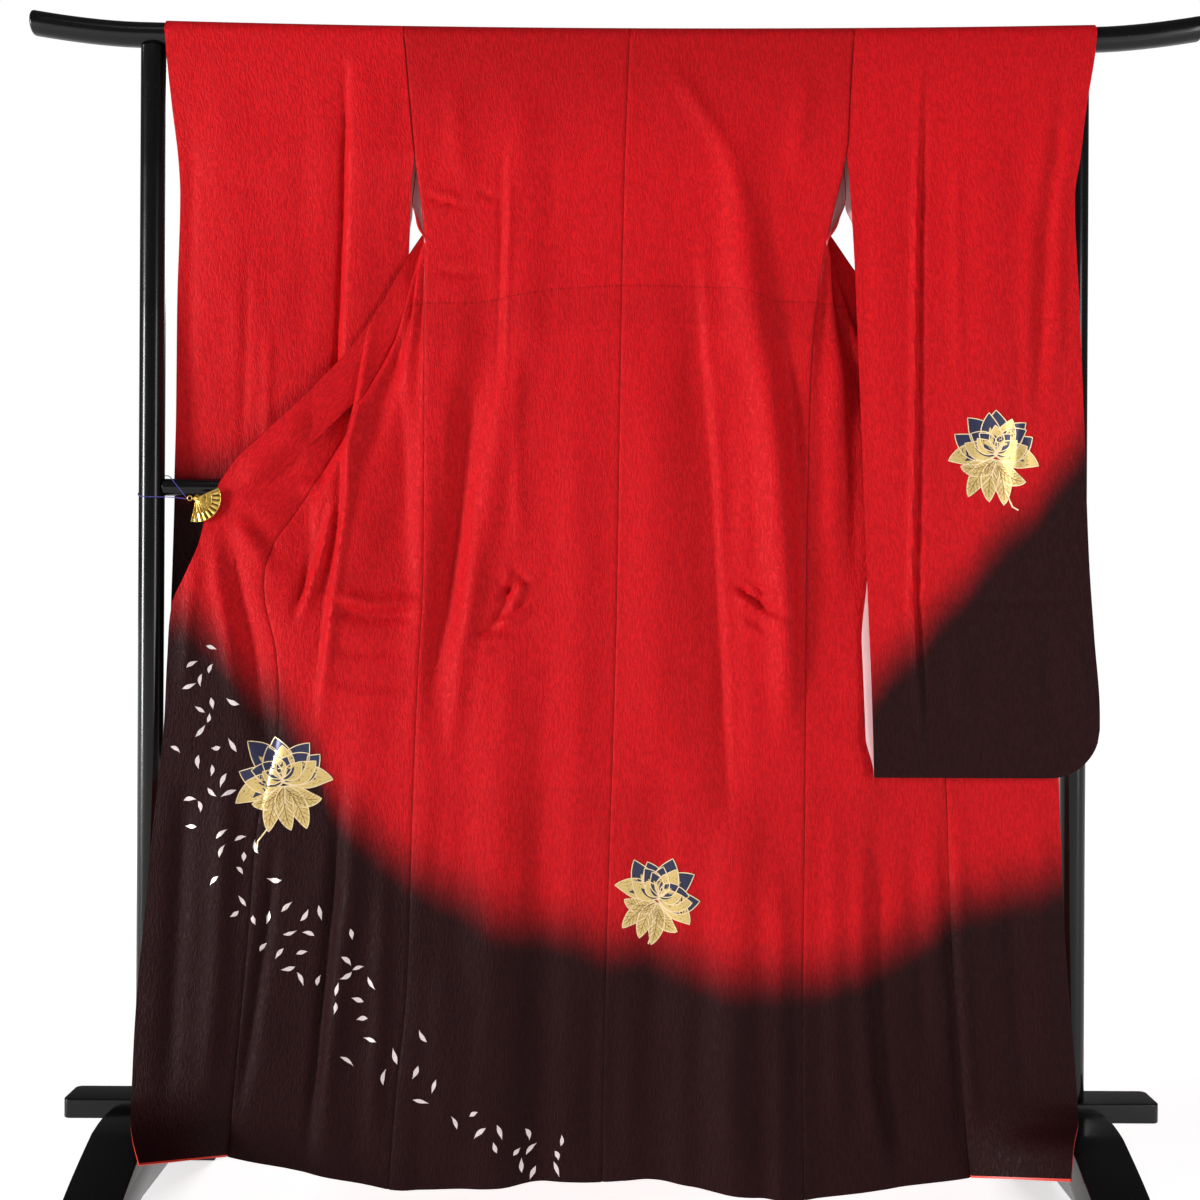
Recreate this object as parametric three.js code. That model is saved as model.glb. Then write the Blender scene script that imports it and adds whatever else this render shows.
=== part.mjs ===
// A furisode kimono spread on a lacquered kimono stand, seen from its back.
// Millimetres, +X to the viewer's right, +Y away from the viewer, +Z up, origin on the floor
// under the middle of the stand.
import * as THREE from 'three';
import { mergeVertices } from 'three/addons/utils/BufferGeometryUtils.js';

// ---------------------------------------------------------------- driving dimensions
const WALL = 1.8;            // lined crepe, outer cloth and lining together
const COLLAR_WALL = 2.6;     // collar band, folded double
const HALF_SEAM = 0.18;      // half of the gap between two sewn pieces
const BAR_RADIUS = 17;
const BAR_HALF_LENGTH = 814;
const BAR_MID_Z = 1652;      // the bar sags a little under the cloth
const BAR_SAG = 7.5;
const BAR_TIP_RISE = 16.5;
const POST_RADIUS = 17.5;
const POST_X = { left: -645, right: 641 };
const RAIL_RADIUS = 12;
const RAIL_Z = 1029;
const PLANK = { length: 1510, depth: 56, bottom: 158, top: 185, round: 9 };
const FOOT = { reach: 300, sole: 70, arch: 90, crown: 172 };
const FOOT_X = { left: [-689, -613], right: [603, 678] };
const TOUCH = 0.3;           // gap between two pieces that bear on each other
const WRAP = BAR_RADIUS + 0.7 + WALL / 2;   // middle of the cloth over the bar
const WRAP_STEPS = 8;
const GATHER_WAVES = 2;      // folds that a drawn-out front lies in

// ---------------------------------------------------------------- tables of the hanging cloth
// Seams down the back: height z, place x, depth y.
const CENTRE_SEAM = [
  { z: 1660, x: 18, y: -18.6 }, { z: 1482, x: 12, y: -24 }, { z: 1311, x: 9, y: -28 },
  { z: 1067, x: 6, y: -36 }, { z: 875, x: 4, y: -38 }, { z: 684, x: 0, y: -40 },
  { z: 465, x: -6, y: -42 }, { z: 261, x: -10, y: -46 }, { z: 60, x: -12, y: -44 },
];
const SIDE_SEAM = {
  left: [
    { z: 1660, x: -295, y: -18.6 }, { z: 1564, x: -286, y: -20 }, { z: 1495, x: -279, y: -21 },
    { z: 1376, x: -264, y: -23.5 }, { z: 1286, x: -263, y: -28 }, { z: 1066, x: -261.5, y: -34 },
    { z: 887, x: -262, y: -38 }, { z: 764, x: -268, y: -40 }, { z: 561, x: -274, y: -44 },
    { z: 346, x: -279, y: -50 }, { z: 203, x: -292, y: -57 }, { z: 60, x: -302, y: -61 },
  ],
  right: [
    { z: 1660, x: 328, y: -18.6 }, { z: 1567, x: 323, y: -20 }, { z: 1497, x: 319, y: -21 },
    { z: 1376, x: 293, y: -23.5 }, { z: 1263, x: 275, y: -28 }, { z: 1151, x: 268, y: -32 },
    { z: 877, x: 263, y: -38 }, { z: 603, x: 262, y: -44 }, { z: 274, x: 258, y: -60 },
    { z: 60, x: 260, y: -70 },
  ],
};
// Back hem: height z at place x.
const BACK_HEM = [
  { x: -304, z: 76 }, { x: -258, z: 75 }, { x: -152, z: 78 }, { x: -107, z: 82 }, { x: -20, z: 81 },
  { x: 47, z: 86 }, { x: 94, z: 82 }, { x: 160, z: 74 }, { x: 254, z: 68 }, { x: 340, z: 71 },
];
// Side edge of each front from the shoulder to the top of the side seam: s is the distance down
// the cloth from the bar.
const SIDE_TOP_S = 290;
const ARM_SEAM_END_S = 175;
const FRONT_ARM_EDGE = {
  left: [
    { s: 0, x: -295, y: 18.6, z: 1653.6 }, { s: 60, x: -291, y: 17, z: 1597 },
    { s: 115, x: -286, y: 13, z: 1543 }, { s: 175, x: -279, y: 7, z: 1485 },
    { s: 230, x: -270, y: -7, z: 1432 }, { s: 290, x: -264, y: -23.5, z: 1376 },
  ],
  right: [
    { s: 0, x: 328, y: 18.6, z: 1653.9 }, { s: 60, x: 325.5, y: 17, z: 1597 },
    { s: 115, x: 323, y: 13, z: 1543 }, { s: 175, x: 319, y: 7, z: 1485 },
    { s: 230, x: 306, y: -7, z: 1432 }, { s: 290, x: 293, y: -23.5, z: 1376 },
  ],
};
const FRONT_LENGTH = 1618;
const SIDE_HEM_Z = { left: 76, right: 68 };
// Inner edge of each front: the collar seam down to the overlap's point, then the overlap seam.
const OVERLAP_POINT_S = 230;
const OVERLAP_TIP = 2;       // width of the overlap at its point
const OVERLAP_SEAM = {
  left: [
    { s: 0, x: -86, y: 18.6, z: 1652.4 }, { s: 115, x: -162, y: 17, z: 1546 },
    { s: 230, x: -233, y: 14, z: 1438 }, { s: 300, x: -263, y: 7, z: 1371 },
    { s: 350, x: -283, y: 0, z: 1306 }, { s: 420, x: -308, y: -7, z: 1232 },
    { s: 500, x: -350, y: -14, z: 1150 }, { s: 600, x: -396, y: -21, z: 1066 },
    { s: 700, x: -446, y: -25, z: 987 }, { s: 760, x: -473, y: -27, z: 943 },
    { s: 840, x: -481, y: -29, z: 880 }, { s: 920, x: -463, y: -32, z: 799 },
    { s: 1030, x: -460, y: -35, z: 690 }, { s: 1155, x: -486, y: -38, z: 566 },
    { s: 1280, x: -495, y: -42, z: 442 }, { s: 1400, x: -504, y: -47, z: 322 },
    { s: 1494, x: -512, y: -50, z: 234 }, { s: 1618, x: -521, y: -54, z: 117 },
  ],
  right: [
    { s: 0, x: 120, y: 18.6, z: 1652.6 }, { s: 115, x: 193, y: 17, z: 1549 },
    { s: 230, x: 263, y: 14, z: 1444 }, { s: 300, x: 294, y: 13, z: 1370 },
    { s: 350, x: 314, y: 8, z: 1310 }, { s: 420, x: 345, y: -1, z: 1235 },
    { s: 500, x: 385, y: -9, z: 1155 }, { s: 600, x: 425, y: -18, z: 1062 },
    { s: 700, x: 453, y: -24, z: 977 }, { s: 760, x: 460, y: -27, z: 925 },
    { s: 840, x: 460, y: -29, z: 860 }, { s: 920, x: 457, y: -31, z: 790 },
    { s: 1030, x: 454, y: -34, z: 690 }, { s: 1155, x: 459, y: -37, z: 565 },
    { s: 1280, x: 463, y: -41, z: 440 }, { s: 1400, x: 471, y: -44, z: 318 },
    { s: 1494, x: 478, y: -48, z: 220 }, { s: 1618, x: 487, y: -57, z: 95 },
  ],
};
// Free edge of each overlap: the collar line down to the collar's end, then the front edge.
const COLLAR_END_S = 840;
const FREE_EDGE = {
  left: [
    { s: 0, x: -86, y: 18.6, z: 1652.4 }, { s: 115, x: -162, y: 17, z: 1546 },
    { s: 230, x: -233, y: 14, z: 1438 }, { s: 300, x: -278, y: 5, z: 1373 },
    { s: 350, x: -307, y: -5, z: 1322 }, { s: 420, x: -345, y: -9, z: 1253 },
    { s: 500, x: -403, y: -14, z: 1185 }, { s: 600, x: -484, y: -20, z: 1105 },
    { s: 660, x: -530, y: -23, z: 1058 }, { s: 710, x: -557, y: -25, z: 1006 },
    { s: 760, x: -571, y: -27, z: 951 }, { s: 800, x: -588, y: -28, z: 910 },
    { s: 840, x: -607, y: -29, z: 869 }, { s: 920, x: -613, y: -31, z: 790 },
    { s: 1030, x: -617, y: -33, z: 690 }, { s: 1155, x: -629, y: -37, z: 564 },
    { s: 1280, x: -639, y: -41, z: 440 }, { s: 1400, x: -648, y: -48, z: 318 },
    { s: 1494, x: -648, y: -64, z: 207 }, { s: 1546, x: -640, y: -92, z: 179 },
    { s: 1582, x: -626, y: -126, z: 163 }, { s: 1618, x: -607, y: -160, z: 146 },
  ],
  right: [
    { s: 0, x: 120, y: 18.6, z: 1652.6 }, { s: 115, x: 193, y: 17, z: 1549 },
    { s: 230, x: 263, y: 14, z: 1444 }, { s: 300, x: 309, y: 12, z: 1378 },
    { s: 350, x: 339, y: 7, z: 1333 }, { s: 420, x: 388, y: -2, z: 1272 },
    { s: 500, x: 444, y: -10, z: 1203 }, { s: 600, x: 514, y: -18, z: 1115 },
    { s: 660, x: 556, y: -22, z: 1063 }, { s: 710, x: 587, y: -25, z: 1016 },
    { s: 760, x: 599, y: -27, z: 962 }, { s: 800, x: 604, y: -28, z: 920 },
    { s: 840, x: 608, y: -29, z: 878 }, { s: 920, x: 609, y: -31, z: 795 },
    { s: 1030, x: 610, y: -33, z: 690 }, { s: 1155, x: 613, y: -36, z: 564 },
    { s: 1280, x: 618, y: -39, z: 430 }, { s: 1400, x: 626, y: -46, z: 305 },
    { s: 1494, x: 629, y: -64, z: 204 }, { s: 1546, x: 621, y: -92, z: 180 },
    { s: 1582, x: 604, y: -128, z: 166 }, { s: 1618, x: 592, y: -152, z: 128 },
  ],
};
// Size of the folds across a drawn-out front, by distance down the cloth.
const GATHER = {
  left: [
    { s: 0, size: 0 }, { s: 50, size: 2 }, { s: 115, size: 9 }, { s: 175, size: 12 },
    { s: 230, size: 9 }, { s: 290, size: 16 }, { s: 350, size: 20 }, { s: 420, size: 15 },
    { s: 500, size: 12 }, { s: 580, size: 10 }, { s: 650, size: 8 }, { s: 770, size: 7 },
    { s: 920, size: 5 }, { s: 1280, size: 5 }, { s: 1618, size: 7 },
  ],
  right: [
    { s: 0, size: 0 }, { s: 50, size: 2 }, { s: 115, size: 8 }, { s: 175, size: 11 },
    { s: 230, size: 8 }, { s: 290, size: 15 }, { s: 350, size: 17 }, { s: 420, size: 13 },
    { s: 500, size: 9 }, { s: 580, size: 7 }, { s: 650, size: 6 }, { s: 770, size: 5 },
    { s: 920, size: 4 }, { s: 1280, size: 4 }, { s: 1618, size: 6 },
  ],
};
// Long soft folds in the back: x where the fold starts and ends, its height range,
// its half width and how far it stands proud (out) of the panel.
const BACK_FOLDS = [
  { topX: -153, footX: -158, topZ: 1600, footZ: 1180, half: 46, out: 7 },
  { topX: -160, footX: -255, topZ: 1250, footZ: 720, half: 34, out: 9 },
  { topX: -205, footX: -222, topZ: 1200, footZ: 800, half: 26, out: -7 },
  { topX: -262, footX: -300, topZ: 760, footZ: 60, half: 40, out: 8 },
  { topX: -150, footX: -160, topZ: 900, footZ: 60, half: 60, out: 9 },
  { topX: -90, footX: -96, topZ: 700, footZ: 60, half: 40, out: -6 },
  { topX: 168, footX: 182, topZ: 1560, footZ: 1180, half: 44, out: 7 },
  { topX: 150, footX: 165, topZ: 1200, footZ: 560, half: 30, out: -6 },
  { topX: 205, footX: 246, topZ: 1260, footZ: 640, half: 34, out: 9 },
  { topX: 170, footX: 168, topZ: 640, footZ: 60, half: 56, out: 11 },
  { topX: 60, footX: 62, topZ: 700, footZ: 60, half: 44, out: -6 },
  { topX: 225, footX: 232, topZ: 560, footZ: 60, half: 34, out: 9 },
];
// Edges of the near layer of each sleeve: height z, place x, depth y.
const CUFF_END_Z = 1428;
const ARM_SEAM_END_Z = 1485;
const SLEEVE_BELLY = { left: 1.5, right: 5 };
const SLEEVE_FOOT_Z = { left: 640, right: 636 };
const SLEEVE_ROUND = 66;     // radius of the lower outer corner
const SLEEVE_INNER = {
  left: [
    { z: 1660, x: -295, y: -18.6 }, { z: 1564, x: -286, y: -20 }, { z: 1495, x: -279, y: -21 },
    { z: 1442, x: -284, y: -9 }, { z: 1360, x: -289, y: 7 }, { z: 1290, x: -290, y: 12 },
    { z: 1230, x: -290, y: 13.5 }, { z: 1130, x: -291, y: 15 }, { z: 1017, x: -291, y: 16.5 },
    { z: 850, x: -292, y: 18 }, { z: 600, x: -292, y: 19 },
  ],
  right: [
    { z: 1660, x: 328, y: -18.6 }, { z: 1567, x: 323, y: -20 }, { z: 1497, x: 319, y: -21 },
    { z: 1450, x: 322, y: -25 }, { z: 1350, x: 327, y: -34 }, { z: 1230, x: 331, y: -44 },
    { z: 1094, x: 336, y: -50 }, { z: 877, x: 345, y: -52 }, { z: 742, x: 351, y: -54 },
    { z: 600, x: 355, y: -56 },
  ],
};
const SLEEVE_OUTER = {
  left: [
    { z: 1660, x: -625, y: -18.6 }, { z: 1619, x: -622, y: -18 }, { z: 1551, x: -615, y: -15 },
    { z: 1482, x: -607, y: -12 }, { z: 1428, x: -605, y: -8 }, { z: 1290, x: -611, y: 1 },
    { z: 1120, x: -615, y: 11 }, { z: 1041, x: -618, y: 15.5 }, { z: 1017, x: -618, y: 16.5 },
    { z: 928, x: -621, y: 19 }, { z: 815, x: -624, y: 20 }, { z: 600, x: -622, y: 21 },
  ],
  right: [
    { z: 1660, x: 664, y: -18.6 }, { z: 1622, x: 660, y: -20.5 }, { z: 1552, x: 648, y: -23 },
    { z: 1482, x: 639, y: -26 }, { z: 1428, x: 631, y: -28 }, { z: 1287, x: 635, y: -36 },
    { z: 1110, x: 641, y: -42 }, { z: 933, x: 647, y: -46 }, { z: 824, x: 654, y: -49 },
    { z: 730, x: 661, y: -51 }, { z: 600, x: 658, y: -53 },
  ],
};
// Distance between the two layers of a sleeve at its inner edge, middle and outer edge.
const LAYERS_SEWN = WALL + 0.8;
const SLEEVE_SPREAD = {
  left: [
    { z: 1660, inner: 37.2, middle: 37.2, outer: 37.2 }, { z: 1597, inner: 37, middle: 34, outer: 33 },
    { z: 1543, inner: 33.5, middle: 29, outer: 23 }, { z: 1485, inner: 28, middle: 22, outer: 13 },
    { z: CUFF_END_Z, inner: 24, middle: 15, outer: LAYERS_SEWN },
    { z: 1290, inner: 17, middle: 10, outer: LAYERS_SEWN },
    { z: 1041, inner: 10, middle: 8, outer: LAYERS_SEWN },
    { z: 760, inner: 7, middle: 6, outer: LAYERS_SEWN },
    { z: 640, inner: LAYERS_SEWN, middle: LAYERS_SEWN, outer: LAYERS_SEWN },
  ],
  right: [
    { z: 1660, inner: 37.2, middle: 37.2, outer: 38.5 }, { z: 1597, inner: 37, middle: 36, outer: 41 },
    { z: 1543, inner: 33.5, middle: 30, outer: 27 }, { z: 1485, inner: 28, middle: 20, outer: 12 },
    { z: CUFF_END_Z, inner: 16, middle: 12, outer: LAYERS_SEWN + 0.6 },
    { z: 1290, inner: 7, middle: 7, outer: LAYERS_SEWN },
    { z: 1041, inner: 8, middle: 8, outer: LAYERS_SEWN },
    { z: 760, inner: 8, middle: 7.5, outer: LAYERS_SEWN },
    { z: 636, inner: LAYERS_SEWN, middle: LAYERS_SEWN, outer: LAYERS_SEWN },
  ],
};
// The far layer of the right sleeve is drawn in round the inner side of the post, down to the cuff.
const CUFF_DRAWN_IN = [
  { z: 1660, x: 0 }, { z: 1642, x: 6 }, { z: 1610, x: 36 }, { z: 1560, x: 30 },
  { z: 1500, x: 21 }, { z: 1455, x: 13 }, { z: CUFF_END_Z, x: 5 }, { z: 1290, x: 0 }, { z: 600, x: 0 },
];
const ARM_LEVELS = [1597, 1543, 1485, 1432];   // rows beside the armhole, back and near sleeve
const SLEEVE_COLUMNS = [0, 0.13, 0.26, 0.39, 0.52, 0.65, 0.77, 0.86, 0.92, 0.97, 1];
const SLEEVE_LEVELS = [...ARM_LEVELS.slice(0, 3), CUFF_END_Z, 1360, 1290, 1200, 1120, 1041, 1017, 928, 815, 730];
// Rows of the body cloth, as distances down from the bar.
const FRONT_ROWS = [60, 115, 175, 230, 290, 350, 420, 500, 580, 650, 710, 770, 840, 920, 1030, 1155,
  1280, 1400, 1494, 1546, 1582, FRONT_LENGTH];
const OVERLAP_ROWS = FRONT_ROWS.filter((s) => s >= OVERLAP_POINT_S);
const PANEL_COLUMNS = 12;    // between the side edge and the neck point
const NECK_COLUMNS = 3;      // between the neck point and the centre seam
const OVERLAP_COLUMNS = 4;
const NECK_SPLIT = 2 / 3;    // share of the half back that lies outside the neck opening
const COLLAR_WIDTH = 55;
const COLLAR_BACK = 3.1;     // the band lies this far behind the front's edge
const COLLAR_TILT = [        // how much further back its free edge lies, past the gathered front
  { s: 0, back: 0 }, { s: 200, back: 5 }, { s: 290, back: 17 }, { s: 350, back: 18 },
  { s: 420, back: 14 }, { s: 480, back: 4 }, { s: 600, back: 0.5 }, { s: 840, back: 1.5 },
];
const NECK_WRAP = 0.75;      // how far the back neck reaches over the bar (1 is level with its axis)

// ---------------------------------------------------------------- small helpers
const vec = (x, y, z) => new THREE.Vector3(x, y, z);
const lerp = THREE.MathUtils.lerp;
const outward = { left: -1, right: 1 };

// Smooth value of one column of a table, by its key column (rows in rising or falling order).
function at(table, key, value, column) {
  const rising = table[table.length - 1][key] > table[0][key];
  const rows = rising ? table : [...table].reverse();
  const last = rows.length - 1;
  if (value <= rows[0][key]) return rows[0][column];
  if (value >= rows[last][key]) return rows[last][column];
  const i = rows.findIndex((row) => row[key] > value) - 1;
  const span = rows[i + 1][key] - rows[i][key];
  const slope = (k) => {
    const a = rows[Math.max(k - 1, 0)];
    const b = rows[Math.min(k + 1, last)];
    return (b[column] - a[column]) / (b[key] - a[key]);
  };
  const t = (value - rows[i][key]) / span;
  const t2 = t * t;
  const t3 = t2 * t;
  return rows[i][column] * (2 * t3 - 3 * t2 + 1) + slope(i) * span * (t3 - 2 * t2 + t)
    + rows[i + 1][column] * (3 * t2 - 2 * t3) + slope(i + 1) * span * (t3 - t2);
}

function pointAt(table, key, value) {
  return vec(at(table, key, value, 'x'), at(table, key, value, 'y'), at(table, key, value, 'z'));
}

const bell = (d) => (Math.abs(d) < 1 ? (0.5 + 0.5 * Math.cos(Math.PI * d)) : 0);
const ease = (t) => THREE.MathUtils.smoothstep(t, 0, 1);

// Height of the bar's axis.
function barZ(x) {
  const past = Math.max(0, Math.abs(x) - 660) / (BAR_HALF_LENGTH - 660);
  return BAR_MID_Z + BAR_SAG * (Math.min(Math.abs(x), 660) / 645) ** 2 + BAR_TIP_RISE * past ** 1.6;
}

// A point of the cloth where it lies over the bar: turn -1 is the near side, 0 the top, 1 the far side.
function overBar(x, turn) {
  const angle = turn * Math.PI / 2;
  return vec(x, WRAP * Math.sin(angle), barZ(x) + WRAP * Math.cos(angle));
}

// A closed body from its corners and triangles, with its faces turned to point out.
function closedMesh(positions, triangles) {
  const corner = (k) => vec(positions[3 * k], positions[3 * k + 1], positions[3 * k + 2]);
  let volume = 0;
  for (let t = 0; t < triangles.length; t += 3) {
    const [a, b, c] = triangles.slice(t, t + 3).map(corner);
    volume += a.dot(b.cross(c));
  }
  const geometry = new THREE.BufferGeometry();
  geometry.setAttribute('position', new THREE.Float32BufferAttribute(positions, 3));
  geometry.setIndex(volume < 0 ? [...triangles].reverse() : triangles);
  return geometry;
}

// Turns the cloth's normal at a seam so that both sewn pieces share it.
function squareEdge(point, normal) {
  const overTheBar = point.z > barZ(point.x) - 1;
  normal.set(0, normal.y, overTheBar ? normal.z : 0);
}

// A wall of cloth on a grid of middle points. Each row may start and end at its own column;
// pinned(i, j) keeps a seam's edge square to the cloth so that two sewn pieces stay apart.
function clothWall(grid, wall, pinned = () => false, kept = () => true) {
  const rows = grid.length;
  const columns = grid[0].length;
  const cells = [];
  for (let i = 0; i < rows - 1; i += 1) {
    for (let j = 0; j < columns - 1; j += 1) if (kept(i, j)) cells.push([i, j]);
  }
  const id = (i, j) => i * columns + j;
  const normals = new Map();
  const edges = new Map();
  const corners = (i, j) => [[i, j], [i, j + 1], [i + 1, j + 1], [i + 1, j]];
  for (const [i, j] of cells) {
    const ring = corners(i, j);
    const across = grid[i + 1][j + 1].clone().sub(grid[i][j]);
    const along = grid[i + 1][j].clone().sub(grid[i][j + 1]);
    const normal = across.cross(along).normalize();
    ring.forEach(([r, c], k) => {
      const key = id(r, c);
      if (!normals.has(key)) normals.set(key, vec(0, 0, 0));
      normals.get(key).add(normal);
      const [r2, c2] = ring[(k + 1) % 4];
      const back = `${id(r2, c2)}>${key}`;
      if (edges.has(back)) edges.delete(back);
      else edges.set(`${key}>${id(r2, c2)}`, [key, id(r2, c2)]);
    });
  }
  const index = new Map();
  const positions = [];
  for (const [key, normal] of normals) {
    const i = Math.floor(key / columns);
    const j = key % columns;
    if (pinned(i, j)) squareEdge(grid[i][j], normal);
    normal.normalize();
    index.set(key, positions.length / 6);
    for (const side of [0.5, -0.5]) positions.push(...grid[i][j].clone().addScaledVector(normal, side * wall));
  }
  const upper = (key) => 2 * index.get(key);
  const lower = (key) => 2 * index.get(key) + 1;
  const triangles = [];
  for (const [i, j] of cells) {
    const [a, b, c, d] = corners(i, j).map(([r, q]) => id(r, q));
    triangles.push(upper(a), upper(c), upper(b), upper(a), upper(d), upper(c));
    triangles.push(lower(a), lower(b), lower(c), lower(a), lower(c), lower(d));
  }
  for (const [a, b] of edges.values()) {
    triangles.push(upper(a), upper(b), lower(b), upper(a), lower(b), lower(a));
  }
  return closedMesh(positions, triangles);
}

// ---------------------------------------------------------------- the body of the kimono
function backFoldOut(x, z) {
  let out = 0;
  for (const fold of BACK_FOLDS) {
    const down = (fold.topZ - z) / (fold.topZ - fold.footZ);
    if (down <= 0 || down > 1.05) continue;
    const middle = lerp(fold.topX, fold.footX, down);
    const start = ease(Math.min(1, down / 0.25));
    const end = fold.footZ > 100 ? ease(Math.min(1, (1.02 - down) / 0.25)) : 1;
    out += fold.out * start * end * bell((x - middle) / fold.half);
  }
  return out;
}

// Height of the side seam at a distance s down the cloth.
function sideZ(side, s) {
  const share = (s - SIDE_TOP_S) / (FRONT_LENGTH - SIDE_TOP_S);
  return lerp(1376, SIDE_HEM_Z[side], share);
}

// A point of the half back; u runs from the side edge (0) to the centre seam (1).
function backPoint(side, u, edgeZ) {
  const seamZ = Math.max(edgeZ, 60);
  const sideX = at(SIDE_SEAM[side], 'z', seamZ, 'x') - outward[side] * HALF_SEAM;
  const midX = at(CENTRE_SEAM, 'z', seamZ, 'x') + outward[side] * HALF_SEAM;
  const x = lerp(sideX, midX, u);
  const top = barZ(x);
  const down = (barZ(sideX) - edgeZ) / (barZ(sideX) - SIDE_HEM_Z[side]);
  const z = lerp(top, at(BACK_HEM, 'x', x, 'z'), down);
  const sideY = at(SIDE_SEAM[side], 'z', z, 'y');
  const midY = at(CENTRE_SEAM, 'z', z, 'y');
  const free = Math.min(1, 8 * u, 8 * (1 - u));
  return vec(x, lerp(sideY, midY, u) - free * backFoldOut(x, z), z);
}

function frontSide(side, s) {
  if (s < SIDE_TOP_S) return pointAt(FRONT_ARM_EDGE[side], 's', s);
  const z = sideZ(side, s);
  return vec(at(SIDE_SEAM[side], 'z', z, 'x'), at(SIDE_SEAM[side], 'z', z, 'y'), z);
}

// A point of the front; u runs from its side edge (0) to the collar or overlap seam (1).
function frontPoint(side, u, s) {
  const start = frontSide(side, s);
  const end = pointAt(OVERLAP_SEAM[side], 's', s);
  const sewnToSleeve = s <= ARM_SEAM_END_S;
  start.x -= outward[side] * HALF_SEAM * (sewnToSleeve ? 1 : -1);
  end.x -= outward[side] * HALF_SEAM;
  const step = end.clone().sub(start);
  const reach = Math.hypot(step.x, step.y);
  const size = at(GATHER[side], 's', s, 'size') * Math.sin(2 * Math.PI * GATHER_WAVES * u);
  const point = start.addScaledVector(step, u);
  point.x += outward[side] * size * step.y / reach;
  point.y -= outward[side] * size * step.x / reach;
  return point;
}

function body(side) {
  const shares = [];
  for (let j = 0; j <= PANEL_COLUMNS; j += 1) shares.push(NECK_SPLIT * j / PANEL_COLUMNS);
  for (let j = 1; j <= NECK_COLUMNS; j += 1) shares.push(lerp(NECK_SPLIT, 1, j / NECK_COLUMNS));
  const grid = [];
  const seamRows = FRONT_ROWS.filter((s) => s >= SIDE_TOP_S && s !== 1546 && s !== 1582);
  const backLevels = [
    ...seamRows.map((s) => sideZ(side, s)).reverse(),
    ...[...ARM_LEVELS].reverse(),
  ];
  for (const level of backLevels) grid.push(shares.map((u) => backPoint(side, u, level)));
  const backTop = grid.length;
  const edgeX = FRONT_ARM_EDGE[side][0].x - outward[side] * HALF_SEAM;
  const midX = CENTRE_SEAM[0].x + outward[side] * HALF_SEAM;
  for (let k = 0; k <= WRAP_STEPS; k += 1) {
    const turn = lerp(-1, 1, k / WRAP_STEPS);
    grid.push(shares.map((u) => overBar(lerp(edgeX, midX, u), turn)));
  }
  const wrapEnd = grid.length - 1;
  const neckRow = backTop + Math.round(WRAP_STEPS * (1 + NECK_WRAP) / 2);
  for (const s of FRONT_ROWS) {
    grid.push(shares.map((_, j) => frontPoint(side, Math.min(1, j / PANEL_COLUMNS), s)));
  }
  const kept = (i, j) => (i < neckRow ? true : j < PANEL_COLUMNS);
  const pinned = (i, j) => j === 0 || (i <= wrapEnd ? j === shares.length - 1 : j === PANEL_COLUMNS);
  return clothWall(grid, WALL, pinned, kept);
}

function overlap(side) {
  const grid = OVERLAP_ROWS.map((s) => {
    const seam = pointAt(OVERLAP_SEAM[side], 's', s);
    seam.x += outward[side] * HALF_SEAM;
    const edge = pointAt(FREE_EDGE[side], 's', s);
    if (s === OVERLAP_POINT_S) edge.x = seam.x + outward[side] * OVERLAP_TIP;
    const row = [];
    for (let j = 0; j <= OVERLAP_COLUMNS; j += 1) row.push(seam.clone().lerp(edge, j / OVERLAP_COLUMNS));
    return row;
  });
  return clothWall(grid, WALL, (i, j) => j === 0);
}

// The collar band: its seam follows the front edges and the back of the neck, and the folded
// band lies behind them, hanging towards the middle of the kimono.
function collarBand() {
  const arm = (side) => {
    const stations = [];
    for (let s = 60; s <= COLLAR_END_S; s += 65) {
      const p = pointAt(FREE_EDGE[side], 's', s);
      const tilt = at(COLLAR_TILT, 's', s, 'back');
      stations.push({ seam: vec(p.x, p.y + COLLAR_BACK, p.z), tilt });
    }
    return stations;
  };
  const neck = [];
  for (let k = 0; k <= 6; k += 1) {
    const x = lerp(OVERLAP_SEAM.left[0].x, OVERLAP_SEAM.right[0].x, k / 6);
    const dip = 2 + 10 * Math.cos(Math.PI * (k / 3 - 1)) ** 2;
    neck.push({ seam: vec(x, WRAP + COLLAR_BACK, barZ(x) - dip), tilt: 0 });
  }
  const stations = [...arm('left').reverse(), ...neck, ...arm('right')];
  const smooth = new THREE.CatmullRomCurve3(stations.map((k) => k.seam), false, 'centripetal');
  const grid = [];
  const perStation = 2;
  const steps = (stations.length - 1) * perStation;
  for (let i = 0; i <= steps; i += 1) {
    const p = smooth.getPoint(i / steps);
    const way = smooth.getTangent(i / steps);
    const k = i / perStation;
    const tilt = lerp(stations[Math.floor(k)].tilt, stations[Math.ceil(k)].tilt, k % 1);
    const inward = vec(way.z, 0, -way.x).normalize().multiplyScalar(COLLAR_WIDTH);
    inward.y = tilt;
    grid.push([0, 0.5, 1].map((w) => p.clone().addScaledVector(inward, w)));
  }
  return clothWall(grid, COLLAR_WALL);
}

// ---------------------------------------------------------------- the sleeves
// Distance between the two layers of a sleeve at u = 0, 0.5 or 1.
function sleeveSpread(side, u, z) {
  const column = { 0: 'inner', 0.5: 'middle', 1: 'outer' }[u];
  return Math.max(LAYERS_SEWN, at(SLEEVE_SPREAD[side], 'z', z, column));
}

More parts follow.
